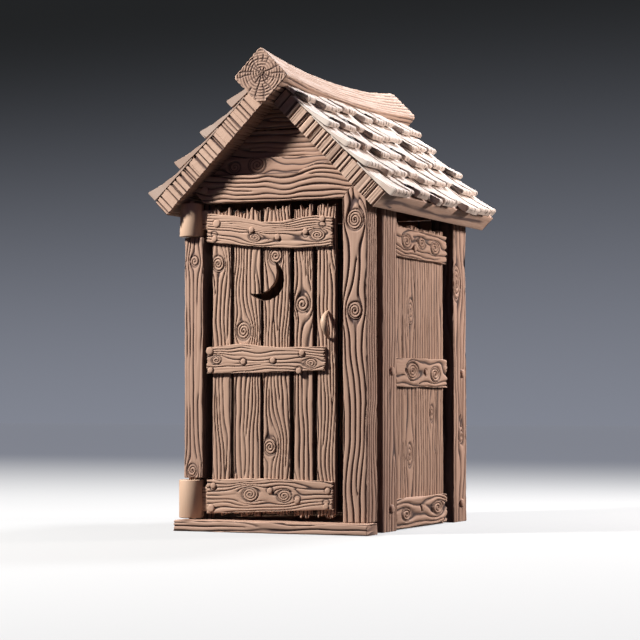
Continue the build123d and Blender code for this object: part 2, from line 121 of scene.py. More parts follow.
def noise(x: Array, y: Array, seed: int) -> Array:
    """Smooth value noise: lattice values blended by the quintic 6t^5 - 15t^4 + 10t^3.

    Args:
        x: first coordinate, in lattice cells.
        y: second coordinate, in lattice cells.
        seed: which set of values.

    Returns:
        Noise from -1 to 1.
    """
    x, y = np.broadcast_arrays(np.asarray(x, float), np.asarray(y, float))
    i, j = np.floor(x), np.floor(y)
    fx, fy = x - i, y - j
    fx = fx**3 * (fx * (fx * 6 - 15) + 10)
    fy = fy**3 * (fy * (fy * 6 - 15) + 10)
    low = lattice(i, j, seed) * (1 - fx) + lattice(i + 1, j, seed) * fx
    high = lattice(i, j + 1, seed) * (1 - fx) + lattice(i + 1, j + 1, seed) * fx
    return 2 * (low * (1 - fy) + high * fy) - 1


def layered(x: Array, y: Array, seed: int) -> Array:
    """Two octaves of noise, the second half as large at twice the frequency."""
    return (noise(x, y, seed) + 0.5 * noise(2 * x, 2 * y, seed + 17)) / 1.5


def ramp(x: Array, low: float, high: float) -> Array:
    """Smooth step from 0 at low to 1 at high, 3t^2 - 2t^3 between."""
    t = np.clip((x - low) / (high - low), 0, 1)
    return t * t * (3 - 2 * t)


def bell(x: Array, width: float) -> Array:
    """A bell of height 1 at 0: exp(-(x / width)^2)."""
    return np.exp(-((x / width) ** 2))


def drop(fall: Array) -> Array:
    """How far an edge has rounded away where fall runs from 0 to 1: 1 - sqrt(1 - 0.96 fall^2)."""
    return 1 - np.sqrt(1 - 0.96 * fall**2)


def wound(phase: Array) -> tuple[Array, Array, Array]:
    """A phase's cosine and sine, and its distance from the nearest whole phase, up to 0.5."""
    cosine, sine = np.cos(TURN * phase), np.sin(TURN * phase)
    return cosine, sine, np.abs(np.arctan2(sine, cosine)) / TURN


# --- carved grain
@dataclass
class Carving:
    """Grooves over a grid: their phase's cosine and sine, strength, depth and painted shade marks.
    """

    cosine: Array
    sine: Array
    strength: Array
    depth: Array
    painted_shade: Array

    def ring(self, share: Array | float = 1.0) -> Array:
        """The ring attribute: the phase's cosine and sine, and the strength times a share."""
        return np.stack([self.cosine, self.sine, self.strength * share], -1)

    def tone(self, tint: float, wear: Array | float) -> Array:
        """The tone attribute: one tint, the wear, and the painted shade marks."""
        flat = np.zeros_like(self.painted_shade)
        return np.stack([flat + tint, flat + wear, self.painted_shade], -1)


@dataclass(frozen=True)
class Knot:
    """A knot with a spiral cut into it; along and across are its place on the timber's face."""

    along: float
    across: float
    radius: float = 0.042
    pitch: float = 0.0165
    turn: float = 1.0
    stretch: float = 0.88


@dataclass(frozen=True)
class Grain:
    """Grooves that run with the timber, part round its knots and fork where a line ends."""

    spacing: float = 0.022
    depth: float = 0.007
    share: float = 0.15
    pillow: float = 0.0016
    wave: float = 0.015
    wave_length: float = 0.26
    wave_breadth: float = 0.075
    forks: int = 4
    fade: float = 0.55
    knots: tuple[Knot, ...] = ()
    nails: tuple[Pair, ...] = ()
    nail_radius: float = 0.0165
    rim: float = 0.0045
    pit: float = 0.005

    def flow(self, u: Array, s: Array, size: Pair, seed: int) -> Carving:
        """Work out the grooves over a grid.

        The stream line is s plus wave noise, less ds R^2 / rho^2 round each knot, as water
        passes a post. Its share of the spacing, plus the angle round each fork over a whole
        turn, is the phase, and a groove lies at each whole phase. Inside a knot the phase is
        (rho - R) / pitch plus the angle, which winds into a spiral.

        Args:
            u: place along the timber.
            s: place across it, round its section.
            size: the timber's length and face width.
            seed: which draw of waves and forks.

        Returns:
            The carving.
        """
        rng = np.random.default_rng(seed)
        length, width = size
        stream = s + self.wave * layered(u / self.wave_length, s / self.wave_breadth, seed)
        for k in self.knots:
            du, ds = (u - k.along) * 0.7 * k.stretch, s - k.across
            rho2 = np.maximum(du * du + ds * ds, k.radius**2)
            stream = stream - ds * k.radius**2 / rho2
        phase = stream / self.spacing
        for _ in range(self.forks):
            fu, fs = rng.uniform(0, length), rng.uniform(-0.5, 0.5) * width
            sign = rng.choice((-1.0, 1.0))
            phase = phase + sign * np.arctan2(s - fs, (u - fu) * 0.22) / TURN
        line = np.round(phase)
        strength = self.fade + (1 - self.fade) * ramp(noise(u / 0.26 + 7.3 * line,
            line * 0.61 + 0.5, seed + 5), -0.55, 0.05)
        # painted_shade gathers painted shade in the knots' rims and pits and in a ring round each
        # nail head, where the carving also sinks deeper.
        painted_shade = np.zeros_like(phase)
        rise = np.zeros_like(phase)
        for k in self.knots:
            du, ds = (u - k.along) * k.stretch, s - k.across
            rho = np.sqrt(du * du + ds * ds)
            inside = rho < k.radius
            spiral = (rho - k.radius) / k.pitch + k.turn * np.arctan2(ds, du) / TURN
            phase = np.where(inside, spiral, phase)
            strength = np.where(inside, 1.0, strength)
            marks = np.maximum(bell(rho - k.radius, self.rim) * 0.8, bell(rho, self.pit))
            painted_shade = np.maximum(painted_shade, marks)
            rise = np.maximum(rise, bell(rho, 0.75 * k.radius))
        for nu, ns in self.nails:
            rho = np.sqrt((u - nu) ** 2 + (s - ns) ** 2)
            painted_shade = np.maximum(painted_shade, bell(rho - self.nail_radius - 0.001, self.rim))
        cosine, sine, t = wound(phase)
        cut = self.depth * bell(t, self.share)
        depth = strength * (cut + self.pillow * (1 - np.sin(math.pi * t)))
        depth = depth + self.depth * 0.8 * painted_shade - self.pillow * 0.8 * rise
        return Carving(cosine, sine, strength, depth, painted_shade)


# --- meshes
def carry(mesh: bpy.types.Mesh, label: str, values: Array) -> None:
    """Write a vector for each face corner into a new attribute of the mesh."""
    attribute = mesh.attributes.new(label, "FLOAT_VECTOR", "CORNER")
    attribute.data.foreach_set("vector", values.astype(np.float32).ravel())


def closed_quads(index: Array, reverse: bool = False) -> Array:
    """Quads between the rows of a grid whose columns close into a ring.

    Args:
        index: rows by columns of vertex numbers.
        reverse: whether the quads run the other way round.

    Returns:
        The quads' vertex numbers.
    """
    beside = np.roll(index, -1, axis=1)
    corners = [index[:-1], beside[:-1], beside[1:], index[1:]]
    if reverse:
        corners[1], corners[3] = corners[3], corners[1]
    return np.stack(corners, -1).reshape(-1, 4)


@dataclass
class Shell:
    """A closed surface and what its vertices carry.

    ring holds the groove phase's cosine and sine and its strength; tone holds the board's
    tint, its wear and its painted shade; grain holds its place along and across the timber.
    """

    points: Array
    quads: Array
    tris: Array
    ring: Array
    tone: Array
    grain: Array

    @staticmethod
    def joined(shells: list["Shell"], counted: bool = False) -> "Shell":
        """Put shells into one; unless counted so already, their faces are counted on.

        Args:
            shells: what to join.
            counted: whether their faces are numbered over the whole already.

        Returns:
            One shell.
        """
        starts = np.cumsum([0] + [0 if counted else len(s.points) for s in shells[:-1]])
        points, ring, tone, grain = (np.vstack([getattr(s, part) for s in shells])
            for part in ("points", "ring", "tone", "grain"))
        quads, tris = (np.vstack([getattr(s, part) + n for s, n in zip(shells, starts)])
            for part in ("quads", "tris"))
        return Shell(points, quads, tris, ring, tone, grain)

    def mesh(self, name: str) -> bpy.types.Mesh:
        """Fill a Blender mesh, with its attributes and its Grain map.

        Args:
            name: the mesh's name.

        Returns:
            The new mesh, smooth shaded.
        """
        made = bpy.data.meshes.new(name)
        nq, nt = len(self.quads), len(self.tris)
        loops = np.concatenate([self.quads.ravel(), self.tris.ravel()]).astype(np.int32)
        starts = np.concatenate([np.arange(nq) * 4, nq * 4 + np.arange(nt) * 3]).astype(np.int32)
        made.vertices.add(len(self.points))
        made.vertices.foreach_set("co", self.points.astype(np.float32).ravel())
        made.loops.add(len(loops))
        made.loops.foreach_set("vertex_index", loops)
        made.polygons.add(nq + nt)
        made.polygons.foreach_set("loop_start", starts)
        made.polygons.foreach_set("use_smooth", np.ones(nq + nt, bool))
        carry(made, "ring", self.ring[loops])
        carry(made, "tone", self.tone[loops])
        grain = made.uv_layers.new(name="Grain")
        grain.data.foreach_set("uv", self.grain[loops].astype(np.float32).ravel())
        made.update(calc_edges=True)
        made.validate()
        made.set_sharp_from_angle(angle=math.radians(50))
        return made


def round_section(width: float, thickness: float, radius: float,
                  steps: tuple[float, float, float, float]) -> tuple[Array, Array, Array]:
    """Sample a rectangle with rounded corners, from the middle of its back round the front.

    Straight runs are divided by the steps, and each corner is a quarter circle of two chords.

    Args:
        width: across the face.
        thickness: from back to face.
        radius: of the corners.
        steps: spacing on the face, its left side, its back and its right side.

    Returns:
        Places as (across, out), outward normals, and the run round the section, 0 mid-face;
        the last place meets the first and is left out.
    """
    w, t, r = width / 2, thickness / 2, radius
    face, left, back, right = steps
    turns = [((-w, -t), (-1, 0), back, w, (0, -1)), ((-w, t), (0, 1), left, 2 * t, (-1, 0)),
        ((w, t), (1, 0), face, 2 * w, (0, 1)), ((w, -t), (0, -1), right, 2 * t, (1, 0)),
        ((0, -t), (-1, 0), back, w, (0, -1))]
    places, normals = [], []
    at = np.array((0.0, -t))
    for number, (corner, heading, step, _, outward) in enumerate(turns):
        corner, heading, outward = np.array(corner), np.array(heading), np.array(outward)
        end = corner - heading * r if number < 4 else corner
        count = max(1, round(float(np.linalg.norm(end - at)) / step))
        share = np.arange(count + (number < 4))[:, None] / count
        places.append(at + (end - at) * share)
        normals.append(np.repeat(outward[None], len(share), 0))
        if number < 4:
            aim = np.array(turns[number + 1][4])
            centre = corner - heading * r - outward * r
            middle = (outward + aim) / math.sqrt(2)
            places.append((centre + middle * r)[None])
            normals.append(middle[None])
            at = centre + aim * r
    place, normal = np.vstack(places), np.vstack(normals).astype(float)
    gaps = np.linalg.norm(np.diff(place, axis=0), axis=1)
    run = np.concatenate([[0], np.cumsum(gaps)])
    middle = np.interp(0, place[(normal[:, 1] > 0.99), 0], run[normal[:, 1] > 0.99])
    return place[:-1], normal[:-1], (run - middle)[:-1]


def row_places(length: float, step: float, dense: list[Point]) -> Array:
    """Places along a timber, closer together in the dense stretches.

    The count of rows up to a place is the integral of one over the local step.

    Args:
        length: the timber's length.
        step: the usual step.
        dense: middle, half length and step of each dense stretch.

    Returns:
        Places from 0 to the length.
    """
    fine = np.linspace(0, length, 2000)
    local = np.full_like(fine, step)
    for middle, half, close in dense:
        local = np.where(np.abs(fine - middle) < half, np.minimum(local, close), local)
    count = np.concatenate([[0], np.cumsum((1 / local)[:-1] * np.diff(fine))])
    total = max(2, math.ceil(count[-1]))
    return np.interp(np.linspace(0, count[-1], total + 1), count, fine)


def teeth(across: Array, reach: float, pitch: float, seed: int) -> Array:
    """How far back a splintered end is broken at each place across it.

    The end is cut into teeth of uneven width. Tooth i stands to a height drawn for it, times
    1 - |2f - 1|^3 with f the share of the way through the tooth, so slits part the teeth.

    Args:
        across: places across the end.
        reach: the deepest break.
        pitch: the usual width of a tooth.
        seed: which draw.

    Returns:
        Distances from 0 to the reach.
    """
    place = across / pitch + 0.9 * noise(across / (2.3 * pitch), across * 0, seed)
    number = np.floor(place)
    share = place - number
    height = 0.3 + 0.7 * lattice(number, number * 0, seed + 3)
    lean = 0.24 * (lattice(number, number * 0 + 1, seed + 3) - 0.5) * (share - 0.5)
    stand = height * (1 - np.abs(2 * share - 1) ** 3) * (1 + lean)
    return reach * np.clip(1 - stand, 0, 1)


@dataclass(frozen=True)
class End:
    """How a timber ends: splintered by reach, cut to a line, and rounded over."""

    reach: float = 0.0
    pitch: float = 0.018
    line: Line = ()
    rounding: float = 0.004


@dataclass
class Timber:
    """A timber between two corners of a box, its grain running along it.

    lower and upper bend its edges at the low and the high end of across: each is a line of
    (place along, offset inwards). painted_side_shade paints shade onto its two narrow sides, in
    the same order. Above the shelf, a line of (x, z), the face is set back, with a painted shadow
    line in the shelf's corner. tint is lighter above 0.
    """

    low: Point
    high: Point
    along: Way
    face: Way
    grain: Grain = field(default_factory=Grain)
    seed: int = 1
    radius: float = 0.005
    steps: tuple[float, float, float, float] = (0.0045, 0.007, 0.02, 0.007)
    row_step: float = 0.012
    start: End = field(default_factory=End)
    finish: End = field(default_factory=End)
    lower: Line = ()
    upper: Line = ()
    edge_wave: Pair = (0.0015, 0.0015)
    chips: float = 0.003
    back_share: float = 0.4
    side_share: float = 1.0
    painted_side_shade: Pair = (0.0, 0.0)
    shelf: Line = ()
    set_back: float = 0.0
    tint: float = 0.0
    chip_width: float = 0.007
    shade_reach: Pair = (0.001, 0.006)

    def axes(self) -> tuple[Array, Array, Array, Array]:
        """Origin and the along, across and out directions; out is across times along."""
        along, out = np.array(self.along.value), np.array(self.face.value)
        low, high = np.array(self.low), np.array(self.high)
        centre, size = (low + high) / 2, high - low
        origin = centre - along * abs(size @ along) / 2
        return origin, along, np.cross(along, out), out

    def on_face(self, level: float, height: float) -> Pair:
        """A place in the building's frame, level along the wall and high, as along and across."""
        origin, along, across, out = self.axes()
        place = np.where(np.abs(out) > 0.5, origin, level)
        place[2] = height
        return float((place - origin) @ along), float((place - origin) @ across)

    def own_grain(self) -> Grain:
        """The grain with its knots and nails moved from the building's frame to the face."""
        knots = tuple(replace(k, along=place[0], across=place[1]) for k in self.grain.knots
            for place in [self.on_face(k.along, k.across)])
        nails = tuple(self.on_face(*nail) for nail in self.grain.nails)
        return replace(self.grain, knots=knots, nails=nails)

    def rows(self, grain: Grain, length: float) -> Array:
        """Places along the timber, closer together by its knots, its nails and its ends.

        Args:
            grain: its own grain.
            length: its length.

        Returns:
            Places from 0 to the length.
        """
        dense = [(k.along, k.radius * 1.3 / k.stretch, self.steps[0] * 1.15) for k in grain.knots]
        dense += [(nail[0], grain.nail_radius * 1.4, self.steps[0]) for nail in grain.nails]
        for edge, end in ((0.0, self.start), (length, self.finish)):
            if end.reach > 0:
                dense.append((edge, 2.2 * end.reach, 0.45 * self.row_step))
            dense.append((edge, 1.5 * end.rounding, 0.5 * end.rounding))
        return row_places(length, self.row_step, dense)

    def drawn_back(self, rows: Array, spots: Array, length: float) -> Array:
        """Draw each column's ends back by the end's line and by its teeth.

        The shift is whole at the end and falls to nothing over a zone of 2.5 times the
        deepest cut.

        Args:
            rows: places along the timber.
            spots: places of the columns across it.
            length: the timber's length.

        Returns:
            The place along of every point, rows by columns.
        """
        origin, along, across, _ = self.axes()
        u = np.repeat(rows[:, None], len(spots), 1)
        for sign, edge, end in ((1, 0.0, self.start), (-1, length, self.finish)):
            cut = np.zeros(len(spots))
            if end.line:
                xs, ys = np.array(end.line).T
                spot = (float(origin @ across) + spots) * across[int(np.argmax(np.abs(across)))]
                order = np.argsort(xs)
                level = np.interp(spot, xs[order], ys[order])
                corner = float((origin + along * edge) @ np.abs(along))
                cut += (level - corner) * sign * float(np.sign(along.sum()))
            if end.reach > 0:
                cut += teeth(spots, end.reach, end.pitch, self.seed * 7 + (sign > 0))
            zone = max(2.5 * float(cut.max()), 0.02)
            hold = np.clip(1 - np.abs(rows - edge) / zone, 0, 1)[:, None]
            u = u + sign * cut[None] * hold
        return u

    def shell(self) -> Shell:
        """Carve the timber.

        The rounded section is carried along rows of places. Each column's ends are drawn back
        by the end's line and teeth, the bend lines move its edges inwards, and the point is
        then sunk along its normal by the groove depth, the chips at the corners and the
        rounding of the ends. Its two ends are closed by zips between the face and back.

        Returns:
            The closed shell.
        """
        origin, along, across, out = self.axes()
        size = np.abs(np.array(self.high) - np.array(self.low))
        length, width, thick = (float(size @ np.abs(a)) for a in (along, across, out))
        radius = min(self.radius, 0.45 * width, 0.45 * thick)
        place, normal, run = round_section(width, thick, radius, self.steps)
        grain = self.own_grain()
        rows = self.rows(grain, length)
        u = self.drawn_back(rows, place[:, 0], length)
        a, o = place[None, :, 0], place[None, :, 1]
        s = np.repeat(run[None], len(rows), 0)
        look = grain.flow(u, s, (length, width), self.seed)
        facing = np.clip(normal[:, 1], -1, 1)[None]
        share = np.where(facing < -0.3, self.back_share, np.where(facing < 0.3, self.side_share, 1))
        to_edges = np.maximum(width / 2 - np.abs(a), 0) + np.maximum(thick / 2 - np.abs(o), 0)
        near = bell(to_edges, self.chip_width)
        chipped = noise(u / 0.045, np.sign(a) * 3.1 + s * 0, self.seed + 11)
        chip = 0.35 + 0.65 * ramp(chipped, 0, 0.8)
        ends = np.minimum(rows, length - rows)[:, None]
        rounding = max(self.start.rounding, self.finish.rounding)
        depth = look.depth * share + self.chips * near * chip
        depth = depth + rounding * drop(np.clip(1 - ends / rounding, 0, 1))
        half = width / 2
        high_edge = half - self.edge(self.upper, u) - self.wavering(u, 1)
        low_edge = -half + self.edge(self.lower, u) + self.wavering(u, 0)
        bent = low_edge + (high_edge - low_edge) * ((a + half) / width)
        a3 = bent - normal[None, :, 0] * depth
        o3 = o - normal[None, :, 1] * depth
        flat = origin + u[..., None] * along + a3[..., None] * across
        o3, ledge_shade = self.shelved(flat, o3, thick)
        # The narrow sides, deeper than shade_reach behind the face, get painted shade, and the
        # shelf's corner a painted shadow line.
        side = normal[None, :, 0]
        shade = ramp(thick / 2 - o, *self.shade_reach) * np.where(side > 0.5, self.painted_side_shade[1],
            np.where(side < -0.5, self.painted_side_shade[0], 0))
        look.painted_shade = np.maximum(np.maximum(look.painted_shade, ledge_shade), shade)
        wear = np.clip(near * (0.4 + 0.6 * chip), 0, 1)
        drift = self.seed * 1.37 % 9
        return closed_bar(flat + o3[..., None] * out, look.ring(share), look.tone(self.tint, wear),
            np.stack([u + drift, s + drift * 0.7], -1), place)

    def shelved(self, places: Array, out: Array, thick: float) -> tuple[Array, Array]:
        """Set the face back above the shelf's line, which runs level along the timber.

        Args:
            places: where each point stands.
            out: how far out of the timber's middle it is.
            thick: the timber's thickness.

        Returns:
            The new distances out, and the painted shadow line in the shelf's corner.
        """
        if not self.shelf:
            return out, np.zeros_like(out)
        xs, zs = np.array(self.shelf).T
        over = places[..., 2] - np.interp(places[..., 0], xs, zs)
        kept = 1 - ramp(over, 0.0, 0.004) * self.set_back / thick
        line = bell(over - 0.006, 0.006) * (out > 0)
        return (out + thick / 2) * kept - thick / 2, line

    def edge(self, line: Line, u: Array) -> Array:
        """How far an edge is bent inwards at each place along, from its line."""
        if not line:
            return np.zeros_like(u)
        xs, ys = np.array(line).T
        return np.interp(u, xs, ys)

    def wavering(self, u: Array, which: int) -> Array:
        """Slow noise along an edge, from 0 to the edge's wave, always inwards."""
        swing = layered(u / 0.16, u * 0 + which * 9, self.seed)
        return self.edge_wave[which] * (0.5 + 0.5 * swing)


def closed_bar(points: Array, ring: Array, tone: Array, places: Array, section: Array) -> Shell:
    """Close a carved grid into a bar: quads round its section, and a zip over each end.

    A zip joins the face's columns to the back's. Both edges are walked in order of their
    place across, and each step adds the triangle from the new vertex to the last two.

    Args:
        points: rows by columns of places.
        ring: rows by columns of groove phases.
        tone: rows by columns of tints.
        places: rows by columns of grain map places.
        section: columns of (across, out), in order round the section.

    Returns:
        The closed shell.
    """
    rows, cols = points.shape[:2]
    index = np.arange(rows * cols).reshape(rows, cols)
    left = int(np.argmin(section[:, 0] + section[:, 1] * 1e-6))
    right = int(np.argmax(section[:, 0] + section[:, 1] * 1e-6))
    loop = np.arange(cols)
    upper = loop[left:right + 1]
    lower = np.concatenate([loop[right:], loop[:left + 1]])[::-1]
    tris = []
    for row, flip in ((0, True), (rows - 1, False)):
        zip_tris = zipped(index[row][upper], index[row][lower], section[upper, 0],
            section[lower, 0])
        tris.append(zip_tris[:, ::-1] if flip else zip_tris)
    return Shell(points.reshape(-1, 3), closed_quads(index), np.vstack(tris), ring.reshape(-1, 3),
        tone.reshape(-1, 3), places.reshape(-1, 2))


def zipped(first: Array, second: Array, x: Array, y: Array) -> Array:
    """Triangles between two chains of vertices that share their ends, or nearly.

    Args:
        first: vertex numbers of the first chain.
        second: vertex numbers of the second chain.
        x: rising places of the first chain.
        y: rising places of the second chain.

    Returns:
        Triangles, with none that repeats a vertex.
    """
    marks = np.concatenate([np.maximum.accumulate(x)[1:], np.maximum.accumulate(y)[1:]])
    kind = np.concatenate([np.zeros(len(x) - 1, int), np.ones(len(y) - 1, int)])
    kind = kind[np.argsort(marks, kind="stable")]
    i = np.concatenate([[0], np.cumsum(kind == 0)])
    j = np.concatenate([[0], np.cumsum(kind == 1)])
    a, b = first[i[:-1]], second[j[:-1]]
    c = np.where(kind == 0, first[i[1:]], second[j[1:]])
    tris = np.stack([a, b, c], -1)
    good = (tris[:, 0] != tris[:, 1]) & (tris[:, 1] != tris[:, 2]) & (tris[:, 0] != tris[:, 2])
    return tris[good]


def turned(axis: Pair, outline: Line, around: int, tint: float) -> Shell:
    """Carry a closed outline of (radius, height) round an upright axis.

    Vertex (i, j) lies at the axis plus radius i times (cos, sin) of the angle 2 pi j / around.

    Args:
        axis: the axis' place on the ground.
        outline: the closed outline, run down its outside.
        around: how many places round the axis.
        tint: the piece's tint.

    Returns:
        The closed ring.
    """
    r, z = np.array(outline).T
    angle = np.arange(around) * TURN / around
    points = np.stack([axis[0] + r[:, None] * np.cos(angle), axis[1] + r[:, None] * np.sin(angle),
        np.repeat(z[:, None], around, 1)], -1)
    index = np.arange(len(r) * around).reshape(len(r), around)
    down, side = np.roll(index, -1, axis=0), np.roll(index, -1, axis=1)
    both = np.roll(down, -1, axis=1)
    quads = np.stack([index, down, both, side], -1).reshape(-1, 4)
    count = len(r) * around
    tone = np.tile((tint, 0.0, 0.0), (count, 1))
    places = np.stack([np.repeat(z, around), np.tile(angle * 0.07, len(r))], -1)
    return Shell(points.reshape(-1, 3), quads, np.zeros((0, 3), int), np.zeros((count, 3)), tone,
        places)


def nail_head(centre: Point, outward: Way, radius: float, rise: float) -> Shell:
    """A round wooden nail head: a low dome whose rise is (1 - t^4) at t of its radius.

    Args:
        centre: the middle of its foot.
        outward: the way it faces.
        radius: of the head.
        rise: of the dome over its foot.

    Returns:
        The closed dome, its foot sunk a little.
    """
    out = np.array(outward.value)
    side = np.array((0.0, 1.0, 0.0) if abs(out[0]) > 0.5 else (1.0, 0.0, 0.0))
    top = np.cross(out, side)
    t = np.array([1.0, 1.0, 0.93, 0.72, 0.4])
    lift = np.array([-0.6, 0.35, 0.72, 0.93, 1.0]) * rise
    around = 16
    count = len(t) * around
    angle = np.arange(around) * TURN / around
    spoke = np.cos(angle)[:, None] * side + np.sin(angle)[:, None] * top
    rings = (t[:, None, None] * radius * spoke + lift[:, None, None] * out).reshape(-1, 3)
    points = np.vstack([rings, [out * rise], [out * lift[0]]]) + np.array(centre)
    index = np.arange(count).reshape(-1, around)
    beside = np.roll(index, -1, axis=1)
    crown = np.stack([index[-1], beside[-1], np.full(around, count)], -1)
    foot = np.stack([beside[0], index[0], np.full(around, count + 1)], -1)
    tone = np.tile((0.0, 0.5, 0.0), (count + 2, 1))
    # Painted shade round the foot, where the head meets the board.
    tone[:around, 2] = 1.0
    return Shell(points, closed_quads(index), np.vstack([crown, foot]), np.zeros((count + 2, 3)),
        tone, points[:, [0, 2]])


# --- finishes
@dataclass(frozen=True)
class Finish:
    """One timber finish: its tones, how dark the painted shade in its grooves is, and its sheen."""

    name: str
    pale: Point
    deep: Point
    # groove_shade is painted shade, laid into the grooves, gaps and creases.
    groove_shade: Point
    line_width: float = 0.19
    line_strength: float = 0.92
    fine_scale: float = 1.0
    fine_height: float = 0.0006
    roughness: float = 0.72
    sheen: float = 0.28

    def material(self) -> Material:
        """Build the material: carved lines and fine grain feed its colour, gloss and bump.

        Returns:
            The material, whose Principled BSDF stays in it.
        """
        made, wires, shader = new_material(self.name)
        lines = wires.group(carved_lines(), Width=self.line_width, Strength=self.line_strength)
        fine = wires.group(fine_grain(), Scale=self.fine_scale, Height=self.fine_height)
        tone = wires.group(timber_tone(), Pale=(*self.pale, 1.0), Deep=(*self.deep, 1.0),
            Groove=(*self.groove_shade, 1.0), Roughness=self.roughness, Line=lines.outputs["Mask"],
            Crown=lines.outputs["Crown"], Streak=fine.outputs["Streak"])
        wires.feed(shader.inputs["Base Color"], tone.outputs["Color"])
        wires.feed(shader.inputs["Roughness"], tone.outputs["Roughness"])
        wires.bump(shader, fine.outputs["Height"], 1.0)
        shader.inputs["Specular IOR Level"].default_value = self.sheen
        return made


def new_material(name: str) -> tuple[Material, "Wires", Node]:
    """Start a material: itself, the wires of its tree, and its Principled BSDF."""
    made = bpy.data.materials.new(name)
    made.use_nodes = True
    return made, Wires(made.node_tree), made.node_tree.nodes["Principled BSDF"]


def new_group(name: str, inputs: dict[str, object],
              outputs: dict[str, str]) -> tuple[Tree, Node, Node]:
    """Start a shader node group with its sockets.

    Args:
        name: the group's name.
        inputs: socket name to its default: a number, or a colour with its alpha.
        outputs: socket name to its kind, Float or Color.

    Returns:
        The group, its input node and its output node.
    """
    group = bpy.data.node_groups.new(name, "ShaderNodeTree")
    for label, value in inputs.items():
        kind = "NodeSocketColor" if isinstance(value, tuple) else "NodeSocketFloat"
        socket = group.interface.new_socket(label, in_out="INPUT", socket_type=kind)
        socket.default_value = value
    for label, kind in outputs.items():
        group.interface.new_socket(label, in_out="OUTPUT", socket_type=f"NodeSocket{kind}")
    return group, group.nodes.new("NodeGroupInput"), group.nodes.new("NodeGroupOutput")


class Wires:
    """Short ways to add nodes to one tree and join them up."""

    def __init__(self, tree: Tree) -> None:
        """Keep the tree."""
        self.tree = tree

    def feed(self, socket: object, value: object) -> None:
        """Give an input a link where value is a socket, or else a plain value."""
        if isinstance(value, bpy.types.NodeSocket):
            self.tree.links.new(value, socket)
        else:
            socket.default_value = value

    def sum(self, kind: str, *values: object, clamp: bool = False) -> object:
        """Add a Math node of that kind over the values, and return its result.

        Args:
            kind: the operation.
            values: numbers or sockets.
            clamp: whether to keep it in 0 to 1.

        Returns:
            Its output socket.
        """
        node = self.tree.nodes.new("ShaderNodeMath")
        node.operation = kind
        node.use_clamp = clamp
        for socket, value in zip(node.inputs, values):
            self.feed(socket, value)
        return node.outputs[0]

    def times(self, first: object, second: object) -> object:
        """The product of two values."""
        return self.sum("MULTIPLY", first, second)

    def mix(self, factor: object, first: object, second: object) -> object:
        """Add a colour Mix node and return its result; its colours are inputs 6 and 7."""
        node = self.tree.nodes.new("ShaderNodeMix")
        node.data_type = "RGBA"
        self.feed(node.inputs["Factor"], factor)
        self.feed(node.inputs[6], first)
        self.feed(node.inputs[7], second)
        return node.outputs[2]

    def spread(self, value: object, low: float, high: float, out0: float, out1: float) -> object:
        """Map value from low..high onto out0..out1 with a smooth step.

        Args:
            value: what to map.
            low: where it starts.
            high: where it ends.
            out0: the result at low.
            out1: the result at high.

        Returns:
            Its output socket.
        """
        node = self.tree.nodes.new("ShaderNodeMapRange")
        node.interpolation_type = "SMOOTHSTEP"
        for socket, given in zip(node.inputs, (value, low, high, out0, out1)):
            self.feed(socket, given)
        return node.outputs[0]

    def noise(self, place: object, scale: float, detail: float = 2.0) -> object:
        """Add a Noise texture over the place, and return its factor."""
        node = self.tree.nodes.new("ShaderNodeTexNoise")
        self.feed(node.inputs["Vector"], place)
        node.inputs["Scale"].default_value = scale
        node.inputs["Detail"].default_value = detail
        return node.outputs["Fac"]

    def stretched(self, place: object, scale: Point) -> object:
        """Stretch a place by a scale along each axis."""
        node = self.tree.nodes.new("ShaderNodeVectorMath")
        node.operation = "MULTIPLY"
        self.feed(node.inputs[0], place)
        node.inputs[1].default_value = scale
        return node.outputs[0]

    def group(self, tree: Tree, **values: object) -> Node:
        """Add a node group and feed its named inputs."""
        node = self.tree.nodes.new("ShaderNodeGroup")
        node.node_tree = tree
        for label, value in values.items():
            self.feed(node.inputs[label], value)
        return node

    def bump(self, shader: Node, height: object, distance: float) -> None:
        """Bump the shader's normal by a height."""
        node = self.tree.nodes.new("ShaderNodeBump")
        node.inputs["Distance"].default_value = distance
        self.feed(node.inputs["Height"], height)
        self.feed(shader.inputs["Normal"], node.outputs["Normal"])

    def attribute(self, name: str) -> list[object]:
        """Read a vector attribute and return its three parts."""
        node = self.tree.nodes.new("ShaderNodeAttribute")
        node.attribute_name = name
        parts = self.tree.nodes.new("ShaderNodeSeparateXYZ")
        self.tree.links.new(node.outputs["Vector"], parts.inputs[0])
        return list(parts.outputs)


@cache
def carved_lines() -> Tree:
    """Group that draws the grooves sharply from the phase that the vertices carry.

    The phase is the angle of (cosine, sine); its distance from a groove, as a share of the
    spacing, gives the mask of painted shade in the grooves, which also takes the tone's painted
    shade; the crown is what lies furthest from the grooves.

    Returns:
        The group, with Mask and Crown.
    """
    group, inlet, outlet = new_group("CarvedLines", {"Width": 0.11, "Strength": 0.85},
        {"Mask": "Float", "Crown": "Float"})
    wires = Wires(group)
    cosine, sine, strength = wires.attribute("ring")
    _, _, painted_shade = wires.attribute("tone")
    angle = wires.sum("ABSOLUTE", wires.sum("ARCTAN2", sine, cosine))
    away = wires.sum("DIVIDE", angle, TURN)
    reach = wires.sum("DIVIDE", away, inlet.outputs["Width"])
    near = wires.sum("SUBTRACT", 1.0, reach, clamp=True)
    soft = wires.spread(near, 0.0, 0.8, 0.0, 1.0)
    faded = wires.spread(strength, 0.2, 0.9, 0.0, 1.0)
    line = wires.times(wires.times(soft, faded), inlet.outputs["Strength"])
    mask = wires.sum("MAXIMUM", line, painted_shade, clamp=True)
    crown = wires.spread(away, 0.2, 0.5, 0.0, 1.0)
    group.links.new(mask, outlet.inputs["Mask"])
    group.links.new(crown, outlet.inputs["Crown"])
    return group


